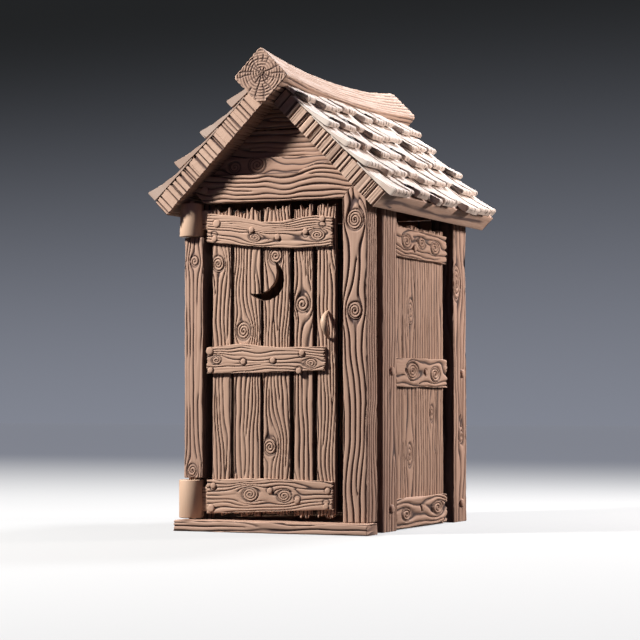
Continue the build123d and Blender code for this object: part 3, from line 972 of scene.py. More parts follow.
@cache
def fine_grain() -> Tree:
    """Group for fine fibres: noise drawn out along the timber, for streaks and for bump.

    Returns:
        The group, with Streak and Height.
    """
    group, inlet, outlet = new_group("FineGrain", {"Scale": 1.0, "Height": 0.0006},
        {"Streak": "Float", "Height": "Float"})
    wires = Wires(group)
    place = group.nodes.new("ShaderNodeUVMap")
    place.uv_map = "Grain"
    sized = group.nodes.new("ShaderNodeVectorMath")
    sized.operation = "SCALE"
    group.links.new(place.outputs["UV"], sized.inputs[0])
    group.links.new(inlet.outputs["Scale"], sized.inputs["Scale"])
    streak = wires.noise(wires.stretched(sized.outputs[0], (6.0, 95.0, 1.0)), 1.0, 3.0)
    fibre = wires.noise(wires.stretched(sized.outputs[0], (14.0, 330.0, 1.0)), 1.0, 3.0)
    both = wires.sum("ADD", wires.times(streak, 0.6), wires.times(fibre, 0.4))
    group.links.new(both, outlet.inputs["Streak"])
    group.links.new(wires.times(both, inlet.outputs["Height"]), outlet.inputs["Height"])
    return group


@cache
def timber_tone() -> Tree:
    """Group that lays a timber's colours: pale crowns, deeper streaks, painted shade in the grooves
    and creases, worn edges.

    Returns:
        The group, with Color and Roughness.
    """
    group, inlet, outlet = new_group("TimberTone",
        {"Pale": (0.6, 0.4, 0.3, 1.0), "Deep": (0.4, 0.24, 0.16, 1.0),
        "Groove": (0.05, 0.02, 0.02, 1.0), "Roughness": 0.7, "Line": 0.0, "Crown": 0.0,
        "Streak": 0.5}, {"Color": "Color", "Roughness": "Float"})
    wires = Wires(group)
    tint, wear, _ = wires.attribute("tone")
    coords = group.nodes.new("ShaderNodeTexCoord")
    patches = wires.noise(coords.outputs["Object"], 2.3, 2.0)
    streak = wires.spread(inlet.outputs["Streak"], 0.34, 0.66, 0.0, 1.0)
    deepen = wires.sum("ADD", wires.times(streak, 0.45), wires.times(patches, 0.5))
    deepen = wires.sum("ADD", deepen, wires.sum("SUBTRACT", 0.12, tint), clamp=True)
    body = wires.mix(deepen, inlet.outputs["Pale"], inlet.outputs["Deep"])
    raised = wires.sum("ADD", wires.times(wear, 0.35), wires.times(inlet.outputs["Crown"], 0.12),
        clamp=True)
    worn = wires.mix(raised, body, inlet.outputs["Pale"])
    # Painted shade: the Line mask mixes the Groove colour into the grooves and creases.
    colour = wires.mix(inlet.outputs["Line"], worn, inlet.outputs["Groove"])
    rough = wires.sum("ADD", inlet.outputs["Roughness"],
        wires.times(wires.sum("SUBTRACT", streak, 0.5), 0.16), clamp=True)
    group.links.new(colour, outlet.inputs["Color"])
    group.links.new(rough, outlet.inputs["Roughness"])
    return group


@dataclass(frozen=True)
class SawnFinish:
    """Sawn inner timber, for the CAD's own pieces: it reads Object coordinates."""

    name: str = "sawn_inner_timber"
    pale: Point = (0.3, 0.17, 0.115)
    deep: Point = (0.16, 0.085, 0.06)
    mark_height: float = 0.0012

    def material(self) -> Material:
        """Build the material: bands of saw marks and cloudy stains.

        Returns:
            The material.
        """
        made, wires, shader = new_material(self.name)
        coords = wires.tree.nodes.new("ShaderNodeTexCoord")
        clouds = wires.noise(wires.stretched(coords.outputs["Object"], (7.0, 7.0, 7.0)), 1.0, 3.0)
        marks = wires.noise(wires.stretched(coords.outputs["Object"], (60.0, 60.0, 22.0)), 1.0, 4.0)
        share = wires.times(wires.sum("ADD", clouds, marks), 0.5)
        sharp = wires.spread(share, 0.32, 0.68, 0.0, 1.0)
        wires.feed(shader.inputs["Base Color"],
            wires.mix(sharp, (*self.pale, 1.0), (*self.deep, 1.0)))
        wires.feed(shader.inputs["Roughness"], wires.spread(marks, 0.3, 0.7, 0.66, 0.86))
        wires.bump(shader, marks, self.mark_height)
        return made


# The third colour of each finish is painted shade for its grooves, gaps and creases.
FINISHES: dict[Slot, Finish] = {Slot.FRAME: Finish("carved_frame_timber", (0.48, 0.318, 0.244),
    (0.335, 0.204, 0.152), (0.026, 0.01, 0.013)),
    Slot.BOARD: Finish("carved_board_timber", (0.495, 0.33, 0.248), (0.347, 0.213, 0.157),
    (0.022, 0.009, 0.011)), Slot.ROOF: Finish("carved_roof_timber", (0.52, 0.365, 0.285),
    (0.37, 0.24, 0.182), (0.04, 0.018, 0.018)),
    # The shakes' pale tone is paler than the frame's, partly as weathered wood and partly as
    # painted light for the brightly lit roof.
    Slot.SHAKE: Finish("split_shakes", (0.63, 0.555, 0.505), (0.4, 0.255, 0.19),
    (0.02, 0.008, 0.009), line_strength=0.72),
    Slot.TURNED: Finish("turned_wood", (0.56, 0.392, 0.288), (0.49, 0.326, 0.235),
    (0.1, 0.04, 0.03), fine_height=0.0001, roughness=0.5)}


# --- placing pieces
@dataclass
class Workshop:
    """Turns shells into pieces that ride, replace CAD nodes and wear a finish."""

    materials: dict[Slot, Material] = field(default_factory=dict)
    triangles: int = 0

    def finish_for(self, slot: Slot) -> Material:
        """The slot's material, built when first asked for."""
        if slot not in self.materials:
            made = SawnFinish().material() if slot is Slot.INNER else FINISHES[slot].material()
            self.materials[slot] = made
        return self.materials[slot]

    def place(self, name: str, shells: list[Shell], slot: Slot, body: Body,
              *replaces: str) -> bpy.types.Object:
        """Join shells into one piece and put it in the scene.

        Args:
            name: the piece's name.
            shells: its closed shells.
            slot: the finish it wears.
            body: the body it rides on.
            replaces: the CAD nodes that it stands for.

        Returns:
            The piece.
        """
        shell = Shell.joined(shells)
        made = put(name, shell.mesh(name))
        made.data.materials.append(self.finish_for(slot))
        count = 2 * len(shell.quads) + len(shell.tris)
        self.triangles += count
        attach(made, body.value)
        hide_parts(*replaces)
        LOG.info("%s: %d shells, %d triangles", name, len(shells), count)
        return made

    def stand_in(self, node: str, shells: list[Shell], slot: Slot, manner: str = "carved",
                 body: Body = Body.HOUSE) -> bpy.types.Object:
        """Place a piece for one CAD node, named after it and the manner of its making."""
        return self.place(f"{node}_{manner}", shells, slot, body, node)

    def dress(self, node: str, slot: Slot) -> None:
        """Give a CAD node its finish in place of the plain one."""
        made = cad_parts[node]
        made.data.materials.clear()
        made.data.materials.append(self.finish_for(slot))


# --- the building's frame
@dataclass
class Frame:
    """Sill, corner posts, corner boards, headers and gable boards."""

    left: float = -0.6
    right: float = 0.6
    front: float = -0.835
    rear: float = 0.835
    hinge_post_inner: float = -0.468
    latch_post_inner: float = 0.443
    rear_post_inner: float = 0.443
    front_post_back: float = -0.673
    rear_post_front: float = 0.594
    doorway_top: float = 1.966
    shoulder: float = 2.025
    header_top: float = 2.236
    under_apex: float = 2.574
    gable_thickness: float = 0.07
    gable_recess: float = 0.0705
    gable_board: float = 0.026
    shelf: Line = ((-0.46, 2.133), (-0.05, 2.129), (0.154, 2.129), (0.195, 2.156), (0.252, 2.176),
        (0.357, 2.182), (0.385, 2.24))
    shelf_depth: float = 0.05
    side_board: Pair = (-0.595, -0.367)
    side_board_inner: float = 0.53
    shoulder_run: float = 0.051
    barrel_room: float = 0.12
    nail: Pair = (0.028, 0.018)
    nail_sunk: float = 0.005

    def roof_at(self, x: float) -> float:
        """Height of the deck's underside over x."""
        return self.under_apex - abs(x)

    def sill(self) -> list[Shell]:
        """The doorstep, with long deep grooves along its face and top."""
        grain = Grain(spacing=0.03, depth=0.008, share=0.11, wave=0.02, wave_length=0.36,
            wave_breadth=0.08, forks=5, fade=0.6)
        return [Timber((self.left - 0.024, self.front - 0.095, 0.0),
            (self.right + 0.04, self.front + 0.068, 0.07), Way.RIGHT, Way.FRONT, grain, 3,
            radius=0.007, steps=(0.004, 0.006, 0.02, 0.02), row_step=0.01,
            start=End(0.01, 0.02), finish=End(0.006, 0.02), edge_wave=(0.004, 0.0),
            tint=0.05).shell()]

    def post_top(self, inner: float, outer: float) -> Line:
        """Heights of a post's top across it: the header's shoulder, then the deck's slope."""
        way = math.copysign(1.0, outer - inner)
        foot = self.under_apex - self.shoulder
        return ((inner, self.doorway_top), (inner + way * self.shoulder_run, self.shoulder),
            (way * foot, self.shoulder), (outer, self.roof_at(outer)))

    def nail_heads(self, side: float, places: Line) -> list[Shell]:
        """Round wooden nail heads on a side's outer face, at (y, z) places."""
        face = Way.RIGHT if side > 0 else Way.LEFT
        return [nail_head((side * (self.right - self.nail_sunk), *place), face, *self.nail)
            for place in places]

    def latch_post(self) -> list[Shell]:
        """The wide post on the latch side, with its two great knots."""
        knots = (Knot(0.524, 1.836, 0.056, 0.0155, -1.0), Knot(0.524, 1.304, 0.046, 0.0165))
        grain = Grain(spacing=0.037, depth=0.009, share=0.12, wave=0.06, wave_length=0.52,
            wave_breadth=0.3, forks=4, knots=knots, fade=0.7)
        return [Timber((self.latch_post_inner, self.front, 0.07),
            (self.right, self.front_post_back, self.shoulder), Way.UP, Way.FRONT, grain, 21,
            steps=(0.004, 0.006, 0.02, 0.0045), row_step=0.011,
            finish=End(line=self.post_top(self.latch_post_inner, self.right)),
            edge_wave=(0.003, 0.004), painted_side_shade=(0.6, 0.0)).shell()]

    def hinge_post(self) -> list[Shell]:
        """The post on the hinge side; it stands behind both barrels and between them."""
        knots = (Knot(-0.54, 0.36, 0.036, 0.016, -1.0), Knot(-0.528, 1.62, 0.03, 0.018))
        grain = Grain(spacing=0.026, depth=0.005, share=0.13, wave=0.014, wave_length=0.4,
            forks=4, knots=knots, fade=0.3)
        made = [Timber((self.left, self.front, 0.316),
            (self.hinge_post_inner, self.front_post_back, 1.765), Way.UP, Way.FRONT, grain, 31,
            steps=(0.0042, 0.0055, 0.02, 0.0055), row_step=0.012, edge_wave=(0.002, 0.01),
            start=End(rounding=0.006), finish=End(rounding=0.006), painted_side_shade=(0.0, 0.7)).shell()]
        back = self.front + self.barrel_room
        plain = Grain(spacing=0.03, depth=0.003)
        for seed, low, high in ((32, 0.0, 0.316), (33, 1.765, 1.973)):
            made.append(Timber((self.left, back, low),
                (self.hinge_post_inner, self.front_post_back, high), Way.UP, Way.LEFT, plain, seed,
                steps=(0.006, 0.01, 0.02, 0.01), row_step=0.02).shell())
        return made

    def rear_post(self, side: float) -> list[Shell]:
        """One rear post; its outer face has a knot bulging near the top.

        Args:
            side: 1 for the right, -1 for the left.

        Returns:
            The post's shell.
        """
        knots = (Knot(0.655, 1.54, 0.074, 0.022, 1.0, 0.62),
            Knot(0.735, 0.56, 0.04, 0.02, -1.0, 0.7))
        nails = ((0.75, 0.957), (0.735, 0.12))
        grain = Grain(spacing=0.05, depth=0.0105, share=0.16, wave=0.034, wave_length=0.34,
            forks=4, knots=knots, fade=0.85, nails=nails)
        low, high, face = sided(side, self.rear_post_inner, self.right)
        post = Timber((low, self.rear_post_front, 0.0), (high, self.rear, self.roof_at(self.right)),
            Way.UP, face, grain, 41 if side > 0 else 42, steps=(0.0062, 0.008, 0.02, 0.008),
            row_step=0.015, edge_wave=(0.006, 0.006),
            painted_side_shade=(0.9, 0.0) if side > 0 else (0.0, 0.9))
        return [post.shell()] + self.nail_heads(side, nails)

    def corner_board(self, side: float) -> list[Shell]:
        """The thick board beside a front post.

        Args:
            side: 1 for the right, -1 for the left.

        Returns:
            The board and its nail heads.
        """
        knots = (Knot(-0.47, 0.56, 0.03, 0.016),) if side < 0 else ()
        grain = Grain(spacing=0.042, depth=0.007, wave=0.018, wave_length=0.4, forks=5,
            knots=knots, fade=0.8)
        low, high, face = sided(side, self.side_board_inner, self.right)
        y0, y1 = self.side_board
        board = Timber((low, y0, 0.0), (high, y1, self.roof_at(self.right)), Way.UP, face, grain,
            51 if side > 0 else 52, steps=(0.0048, 0.008, 0.03, 0.008), row_step=0.012,
            edge_wave=(0.003, 0.005), painted_side_shade=(0.8, 0.8))
        return [board.shell()] + self.nail_heads(side, ((-0.455, 0.957), (-0.46, 0.135)))

    def header(self, face: Way) -> list[Shell]:
        """The board over an opening, shouldered on the posts and cut to the deck's slope.

        Args:
            face: FRONT or REAR.

        Returns:
            The board, and the front one's nail head.
        """
        near = self.front if face is Way.FRONT else self.rear - self.gable_thickness
        inner = self.hinge_post_inner if face is Way.FRONT else -self.rear_post_inner
        ends = {}
        for label, way, corner in (("start", -1, inner), ("finish", 1, self.latch_post_inner)):
            ends[label] = End(line=((self.doorway_top, corner),
                (self.shoulder, corner + way * self.shoulder_run),
                (self.shoulder + 0.0005, way * (self.under_apex - self.shoulder)),
                (self.header_top, way * (self.under_apex - self.header_top))), rounding=0.002)
        knots = (Knot(-0.135, 2.192, 0.052, 0.018), Knot(-0.285, 2.185, 0.034, 0.016, -1.0))
        grain = Grain(spacing=0.033, depth=0.0095, share=0.14, wave=0.026, wave_length=0.21,
            wave_breadth=0.16, forks=4, knots=knots, fade=0.75)
        reach = self.under_apex - self.shoulder
        # Its tint of -0.38 is painted shade: it deepens the header for the rake's shadow across it.
        made = [Timber((-reach, near, self.doorway_top),
            (reach, near + self.gable_thickness, self.header_top), Way.RIGHT, face, grain,
            61 if face is Way.FRONT else 62, steps=(0.0045, 0.01, 0.03, 0.01), row_step=0.008,
            shelf=self.shelf, set_back=self.shelf_depth, tint=-0.38, **ends).shell()]
        if face is Way.FRONT:
            made.append(nail_head((-0.462, self.front + 0.004, 2.048), face, 0.021, 0.016))
        return made

    def gable(self, face: Way) -> list[Shell]:
        """The two boards that fill the gable, set back behind the header and nailed to it.

        Args:
            face: FRONT or REAR.

        Returns:
            The boards.
        """
        near = (self.front + self.gable_recess if face is Way.FRONT
            else self.rear - self.gable_recess - self.gable_board)
        made = []
        seed = 71 if face is Way.FRONT else 75
        for number, (low, high) in enumerate(((2.19, 2.4), (2.404, 2.54))):
            ends = {label: End(line=((low, way * (self.under_apex - low)),
                (high, way * (self.under_apex - high))), rounding=0.002)
                for label, way in (("start", -1), ("finish", 1))}
            grain = Grain(spacing=0.03, depth=0.007, wave=0.024, wave_length=0.26,
                wave_breadth=0.12, forks=3)
            reach = self.under_apex - low
            # Their tint of -0.4 is painted shade: it deepens the gable boards for the shadow under
            # the rakes.
            made.append(Timber((-reach, near, low), (reach, near + self.gable_board, high),
                Way.RIGHT, face, grain, seed + number, steps=(0.006, 0.01, 0.03, 0.01),
                row_step=0.01, tint=-0.4, **ends).shell())
        return made

    def build(self, shop: Workshop) -> None:
        """Make and place every piece of the frame."""
        shop.stand_in("front_sill", self.sill(), Slot.FRAME)
        shop.place("post_latch_carved", self.latch_post(), Slot.FRAME, Body.HOUSE,
            "post_front_right")
        shop.place("post_hinge_carved", self.hinge_post(), Slot.FRAME, Body.HOUSE,
            "post_front_left")
        for side, word in SIDES:
            shop.stand_in(f"post_rear_{word}", self.rear_post(side), Slot.FRAME)
            shop.stand_in(f"side_board_{word}", self.corner_board(side), Slot.FRAME)
        for face, word in ((Way.FRONT, "front"), (Way.REAR, "rear")):
            shop.stand_in(f"header_{word}", self.header(face), Slot.BOARD)
            shop.stand_in(f"gable_boards_{word}", self.gable(face), Slot.BOARD)


# --- walls
@dataclass
class Walls:
    """Side and rear walls: recessed planks, and battens across them."""

    plank_face: float = 0.564
    batten_face: float = 0.5943
    plank_thickness: float = 0.034
    batten_thickness: float = 0.03
    span: Pair = (-0.363, 0.499)
    shut_to: float = 0.59
    rear_span: Pair = (-0.439, 0.439)
    rear_planks_front: float = 0.765
    joint: float = 0.004
    side_shares: Row = (0.2, 0.24, 0.24, 0.18, 0.14)
    rear_shares: Row = (0.18, 0.22, 0.2, 0.23, 0.17)
    plank_top: float = 1.869
    rear_plank_top: float = 1.964
    rails: Row = (0.101, 0.953, 1.742)
    batten_height: float = 0.186
    seat: float = 0.0003
    nail: Pair = (0.02, 0.012)
    rear_nail: Pair = (0.016, 0.008)

    def plank(self, low: Point, high: Point, face: Way, grain: Grain, seed: int, number: int,
              **cuts: object) -> Shell:
        """One upright plank: its sides carry painted shade, and its tint goes by its number in the
        wall.
        """
        return Timber(low, high, Way.UP, face, grain, seed, edge_wave=(0, 0), side_share=0.1,
            painted_side_shade=(1.0, 1.0), chips=0.0015, tint=0.05 * (number % 3 - 1), **cuts).shell()

    def spans(self, ends: Pair, shares: Row) -> list[Pair]:
        """Divide a width into boards by their shares, with a joint between neighbours.

        Args:
            ends: where the width starts and ends.
            shares: each board's share of the wood.

        Returns:
            Where each board starts and ends.
        """
        wood = ends[1] - ends[0] - self.joint * (len(shares) - 1)
        made, edge = [], ends[0]
        for share in shares:
            made.append((edge, edge + wood * share))
            edge += wood * share + self.joint
        return made

    def side_planks(self, side: float) -> list[Shell]:
        """The recessed planks of one side wall.

        Args:
            side: 1 for the right, -1 for the left.

        Returns:
            The planks.
        """
        inner, outer, face = sided(side, self.plank_face - self.plank_thickness, self.plank_face)
        knots = {1: (Knot(-0.055, 1.33, 0.05, 0.02, 1.0, 0.6),
            Knot(-0.075, 0.445, 0.046, 0.02, 1.0, 0.6)),
            3: (Knot(0.3, 0.7, 0.034, 0.018, -1.0, 0.6),)}
        made = []
        reach = (self.span[0], self.span[1] if side > 0 else self.shut_to)
        for number, (y0, y1) in enumerate(self.spans(reach, self.side_shares)):
            grain = Grain(spacing=0.042, depth=0.0065, share=0.15, wave=0.016, wave_length=0.36,
                forks=4, knots=knots.get(number, ()), fade=0.8)
            made.append(self.plank((inner, y0, 0.0), (outer, y1, self.plank_top), face, grain,
                80 + number + (10 if side < 0 else 0), number, steps=(0.0064, 0.012, 0.03, 0.012),
                row_step=0.017, finish=End(0.048, 0.022), radius=0.003))
        return made

    def side_battens(self, side: float) -> list[Shell]:
        """The three battens of one side wall, with their round nail heads.

        Args:
            side: 1 for the right, -1 for the left.

        Returns:
            The battens and heads.
        """
        inner, outer, face = sided(side, self.batten_face - self.batten_thickness, self.batten_face)
        knots = ((Knot(0.33, 0.11, 0.044, 0.018, 1.0, 0.5),
            Knot(-0.2, 0.09, 0.04, 0.018, 1.0, 0.5)),
            (Knot(-0.095, 0.962, 0.058, 0.019, -1.0, 0.58),
            Knot(0.287, 0.946, 0.05, 0.018, 1.0, 0.58)),
            (Knot(-0.194, 1.753, 0.046, 0.018, 1.0, 0.58),
            Knot(0.061, 1.758, 0.04, 0.018, -1.0, 0.6),
            Knot(0.286, 1.74, 0.044, 0.018, 1.0, 0.58)))
        nails = ((0.06, 0.12), (0.125, 0.955), (-0.06, 1.715))
        made = []
        for number, z in enumerate(self.rails):
            grain = Grain(spacing=0.04, depth=0.011, share=0.17, wave=0.038, wave_length=0.3,
                wave_breadth=0.12, forks=4, knots=knots[number], fade=0.85, nails=(nails[number],),
                nail_radius=0.02)
            made.append(Timber((inner, self.span[0], z - self.batten_height / 2),
                (outer, self.span[1], z + self.batten_height / 2), Way.REAR, face, grain,
                101 + number + (10 if side < 0 else 0), steps=(0.0055, 0.008, 0.03, 0.008),
                row_step=0.01, finish=End(0.022, 0.02), edge_wave=(0.006, 0.006),
                tint=0.03).shell())
            made.append(nail_head((side * (self.batten_face - 0.006), *nails[number]), face,
                *self.nail))
        return made

    def rear_wall(self) -> tuple[list[Shell], list[Shell]]:
        """The rear planks, and the rear battens with their nail heads.

        Returns:
            The planks, then the battens.
        """
        y0 = self.rear_planks_front
        y1 = y0 + self.plank_thickness
        planks, battens = [], []
        for number, (x0, x1) in enumerate(self.spans(self.rear_span, self.rear_shares)):
            knots = (Knot((x0 + x1) / 2, 0.45 + 0.23 * number, 0.034, 0.017),) if number % 2 else ()
            grain = Grain(spacing=0.023, depth=0.005, wave=0.008, forks=5, knots=knots)
            planks.append(self.plank((x0, y0, 0.0), (x1, y1, self.rear_plank_top), Way.REAR, grain,
                120 + number, number, row_step=0.022, steps=(0.0076, 0.012, 0.03, 0.012),
                finish=End(0.004, 0.022)))
        for number, z in enumerate(self.rails):
            knots = (Knot(-0.22 + 0.21 * number, z, 0.04, 0.016),)
            grain = Grain(spacing=0.03, depth=0.007, wave=0.022, wave_length=0.22, forks=6,
                knots=knots, fade=0.5)
            battens.append(Timber((self.rear_span[0], y1 + self.seat, z - self.batten_height / 2),
                (self.rear_span[1], y1 + self.seat + self.batten_thickness,
                z + self.batten_height / 2), Way.RIGHT, Way.REAR, grain, 130 + number,
                steps=(0.0066, 0.01, 0.03, 0.01), row_step=0.014, start=End(0.022, 0.02),
                finish=End(0.022, 0.02), edge_wave=(0.006, 0.006)).shell())
            for x in (-0.36, 0.02, 0.35):
                battens.append(nail_head((x, y1 + 0.027, z + 0.02), Way.REAR, *self.rear_nail))
        return planks, battens

    def build(self, shop: Workshop) -> None:
        """Make and place the walls."""
        for side, word in SIDES:
            shop.stand_in(f"side_planks_{word}", self.side_planks(side), Slot.BOARD)
            shop.stand_in(f"side_battens_{word}", self.side_battens(side), Slot.BOARD)
        planks, battens = self.rear_wall()
        shop.stand_in("rear_planks", planks, Slot.BOARD)
        shop.stand_in("rear_battens", battens, Slot.BOARD)
        for node in ("side_girts_left", "side_girts_right", "wall_plate_left", "wall_plate_right",
            "rear_girts", "floor_joists", "floor_boards"):
            shop.dress(node, Slot.INNER)


# --- roof
@dataclass
class Roof:
    """Deck planks, split shakes in courses, and the sagging ridge log."""

    under_apex: float = 2.574
    eave_slope: float = 0.956
    deck: float = 0.111
    half_length: float = 0.93
    seat: float = 0.0474
    gap: float = 0.0003
    top_tail: float = 0.224
    overhang: Pair = (0.042, 0.015)
    rise: Pair = (0.067, 0.084)
    eave_lift: float = 0.01
    head_lap: float = 0.104
    head_thickness: float = 0.01
    width: float = 0.204
    stagger: float = 0.04
    tail_round: Pair = (0.024, 0.012)
    broken_share: Pair = (0.85, 0.35)
    gaps: Row = (0.014, 0.03, 0.009, 0.022, 0.012, 0.026, 0.018)
    drift: Row = (0.0, 0.034, -0.016, 0.022, -0.036, 0.012, -0.026)
    ridge_side: Pair = (0.159, 0.206)
    ridge_overhang: float = 0.09
    ridge_wear: float = 0.006
    deck_count: int = 11
    deck_joint: float = 0.0006
    splits: int = 3
    broken_width: Pair = (0.034, 0.062)
    broken_reach: Pair = (0.07, 0.11)
    twist: float = 0.006
    # shake_light_tint paints the right slope's shakes paler, as painted light from the lamp behind,
    # and the left slope's deeper, as painted shade.
    shake_light_tint: Pair = (0.35, -0.4)
    # shake_edge_shade is painted shade on the left slope's shakes along their long edges.
    shake_edge_shade: float = 0.3
    log_step: float = 0.007
    log_heart: Pair = (0.006, 2.705)
    log_knot_run: float = 0.1
    end_rings: int = 33
    ring_pitch: float = 0.0172
    ring_share: float = 0.22
    cracks: int = 17
    crack_width: float = 0.0046
    end_sink: float = 0.0065

    def on_slope(self, down: Array, out: Array, side: float) -> tuple[Array, Array]:
        """X and Z of a place down a slope and out from the deck's underside."""
        c = math.sqrt(0.5)
        return side * (down + out) * c, self.under_apex + (out - down) * c

    def slope_shell(self, u: Array, a: Array, o: Array, side: float, look: Carving,
                    tint: float, wear: Array, section: Array, seed: int) -> Shell:
        """Lay a carved grid on a slope: u down it, a along the building and o out of it.

        Args:
            u: places down the slope.
            a: places along the building.
            o: places out of the slope.
            side: 1 for the right slope, -1 for the left.
            look: the carving.
            tint: its tint.
            wear: its worn edges.
            section: its section's columns.
            seed: which drift of fine grain.

        Returns:
            The closed shell.
        """
        x, z = self.on_slope(u, o, side)
        drift = seed * 1.37 % 9
        return closed_bar(np.stack([x, -side * a, z], -1), look.ring(), look.tone(tint, wear),
            np.stack([u + drift, a + drift], -1), section)

    def shake(self, tail: float, exposure: float, y0: float, y1: float, side: float,
              lowest: bool, seed: int) -> Shell:
        """One split shake: a wedge whose faces curve up to its tail, riven with deep grooves.

        Both faces lift from the deck by the square of the distance from the head: the lower
        one to the shake beneath, the upper one to the course's full rise. Grooves run down
        it, its tail is rounded over, and most tails have lost one corner.

        Args:
            tail: how far down the slope its tail lies.
            exposure: from course to course.
            y0: its front edge.
            y1: its rear edge.
            side: 1 for the right slope, -1 for the left.
            lowest: whether it belongs to the eave's course, which lies on the deck.
            seed: which draw.

        Returns:
            The closed shake.
        """
        rng = np.random.default_rng(seed)
        which = 0 if side > 0 else 1
        tail_round, growth = self.tail_round[which], self.rise[which] - self.head_thickness
        length = exposure + self.head_lap
        lap = (self.head_lap + self.stagger) / length
        rest = self.eave_lift if lowest else self.head_thickness + growth * lap * lap + self.gap
        base = self.deck + self.gap
        head = max(tail - length, self.seat + self.gap)
        width = y1 - y0
        place, normal, _ = round_section(width, 1.0, 0.004, (0.0075, 0.5, 0.03, 0.5))
        rows = row_places(tail - head, 0.018,
            [(tail - head, 0.07, 0.011), (tail - head, tail_round, 0.0036)])
        q = (rows / (tail - head))[:, None]
        broken = (rng.choice((-1.0, 1.0)) * place[:, 0] - width / 2
            + rng.uniform(*self.broken_width))
        broken = ramp(broken, 0.0, 0.006) * (rng.uniform() < self.broken_share[which])
        breaks = teeth(place[:, 0], 0.007, 0.03, seed) + rng.uniform(*self.broken_reach) * broken
        u = head + rows[:, None] - breaks[None] * np.clip(1 - (1 - q) / 0.5, 0, 1)
        t = (u - (tail - length)) / length
        low = base + rest * t * t
        thick = self.head_thickness + (growth - rest) * t * t
        twist = rng.uniform(-self.twist, self.twist) * place[None, :, 0] / width * t * t
        grain = Grain(spacing=0.052, depth=0.0038, share=0.09, pillow=0.0008, wave=0.012,
            wave_length=0.24, wave_breadth=0.08, forks=1, fade=0.4)
        across = place[None, :, 0]
        top = (normal[:, 1] > 0.3)[None]
        look = grain.flow(u, np.where(top, across, 0.3) + (seed % 7) * 0.011, (length, width), seed)
        depth = np.where(top, look.depth * np.clip(thick / 0.03, 0.2, 1), 0)
        look.strength = np.where(top, look.strength, 0.0)
        near = bell(width / 2 - np.abs(across), 0.01)
        left_over = tail - head - rows[:, None]
        fall = np.clip(1 - left_over / tail_round, 0, 1) * (1 - broken[None])
        round_off = tail_round * drop(fall)
        # Painted shade on the walls of a broken corner.
        look.painted_shade = np.maximum(look.painted_shade, broken[None] * ramp(0.03 - left_over, 0, 0.01))
        # Painted shade on the long edges of the left slope's shakes.
        if side < 0:
            edges = np.abs(normal[None, :, 0]) > 0.7
            look.painted_shade = np.maximum(look.painted_shade, self.shake_edge_shade * edges)
        depth = depth + near * 0.006 * (0.4 + noise(u / 0.05, 0 * u + 1, seed) ** 2) + round_off
        share = place[None, :, 1] + 0.5
        o = low + twist + share * (thick - depth) + (1 - share) * 0.35 * round_off
        hollow = 0.0015 + 0.3 * round_off + 0.0025 * noise(u / 0.07, 0 * u, seed + 2) ** 2
        a = across - normal[None, :, 0] * hollow
        a = a + (y0 + y1) / 2 * -side
        # A random tint, plus painted light on the right slope and painted shade on the left.
        tint = float(rng.uniform(-0.12, 0.16)) + self.shake_light_tint[which]
        return self.slope_shell(u, a, o, side, look, tint, near * 0.6, place, seed)

    def course(self, number: int, count: int, phase: int, side: float, seed: int) -> list[Shell]:
        """One course of shakes, counted from the eave.

        Args:
            number: which course.
            count: how many the slope has.
            phase: where its pattern of gaps starts.
            side: 1 for the right slope, -1 for the left.
            seed: its first shake's draw.

        Returns:
            The course's shakes.
        """
        eave_tail = self.eave_slope + self.overhang[0 if side > 0 else 1]
        exposure = (eave_tail - self.top_tail) / (count - 1)
        tail = eave_tail - number * exposure
        pieces = round(2 * self.half_length / self.width)
        edges = [-self.half_length + 2 * self.half_length * i / pieces for i in range(pieces + 1)]
        for i in range(1, pieces):
            edges[i] += self.drift[(i + phase) % len(self.drift)]
        made = []
        for i in range(pieces):
            gap = self.gaps[(i + phase) % len(self.gaps)]
            y0 = edges[i] + (gap / 2 if i > 0 else 0)
            y1 = edges[i + 1] - (gap / 2 if i < pieces - 1 else 0)
            own_tail = tail - self.stagger * ((i + phase) % 3) / 2
            made.append(self.shake(own_tail, exposure, y0, y1, side, number == 0, seed + i))
        return made

    def split_end(self, spots: Array, width: float, seed: int) -> Array:
        """How far a plank's end is cut back across it: low teeth, and a few deep splits.

        Args:
            spots: places across the plank, from its middle.
            width: the plank's width.
            seed: which draw.

        Returns:
            Metres cut back at each place.
        """
        splits = np.random.default_rng(seed).uniform(-0.5, 0.5, self.splits) * width
        near = np.min(np.abs(spots[:, None] - splits[None]), axis=1)
        return teeth(spots, 0.004, 0.019, seed) + 0.012 * bell(near, 0.0036)

    def deck_planks(self, side: float, seed: int) -> list[Shell]:
        """The deck: planks from gable to gable, with riven ends that show at the rakes."""
        start, count = self.seat + self.gap, self.deck_count
        wood = (self.eave_slope - start - self.deck_joint * (count - 1)) / count
        return [self.deck_plank(i, start + i * (wood + self.deck_joint), wood, side, seed)
            for i in range(count)]

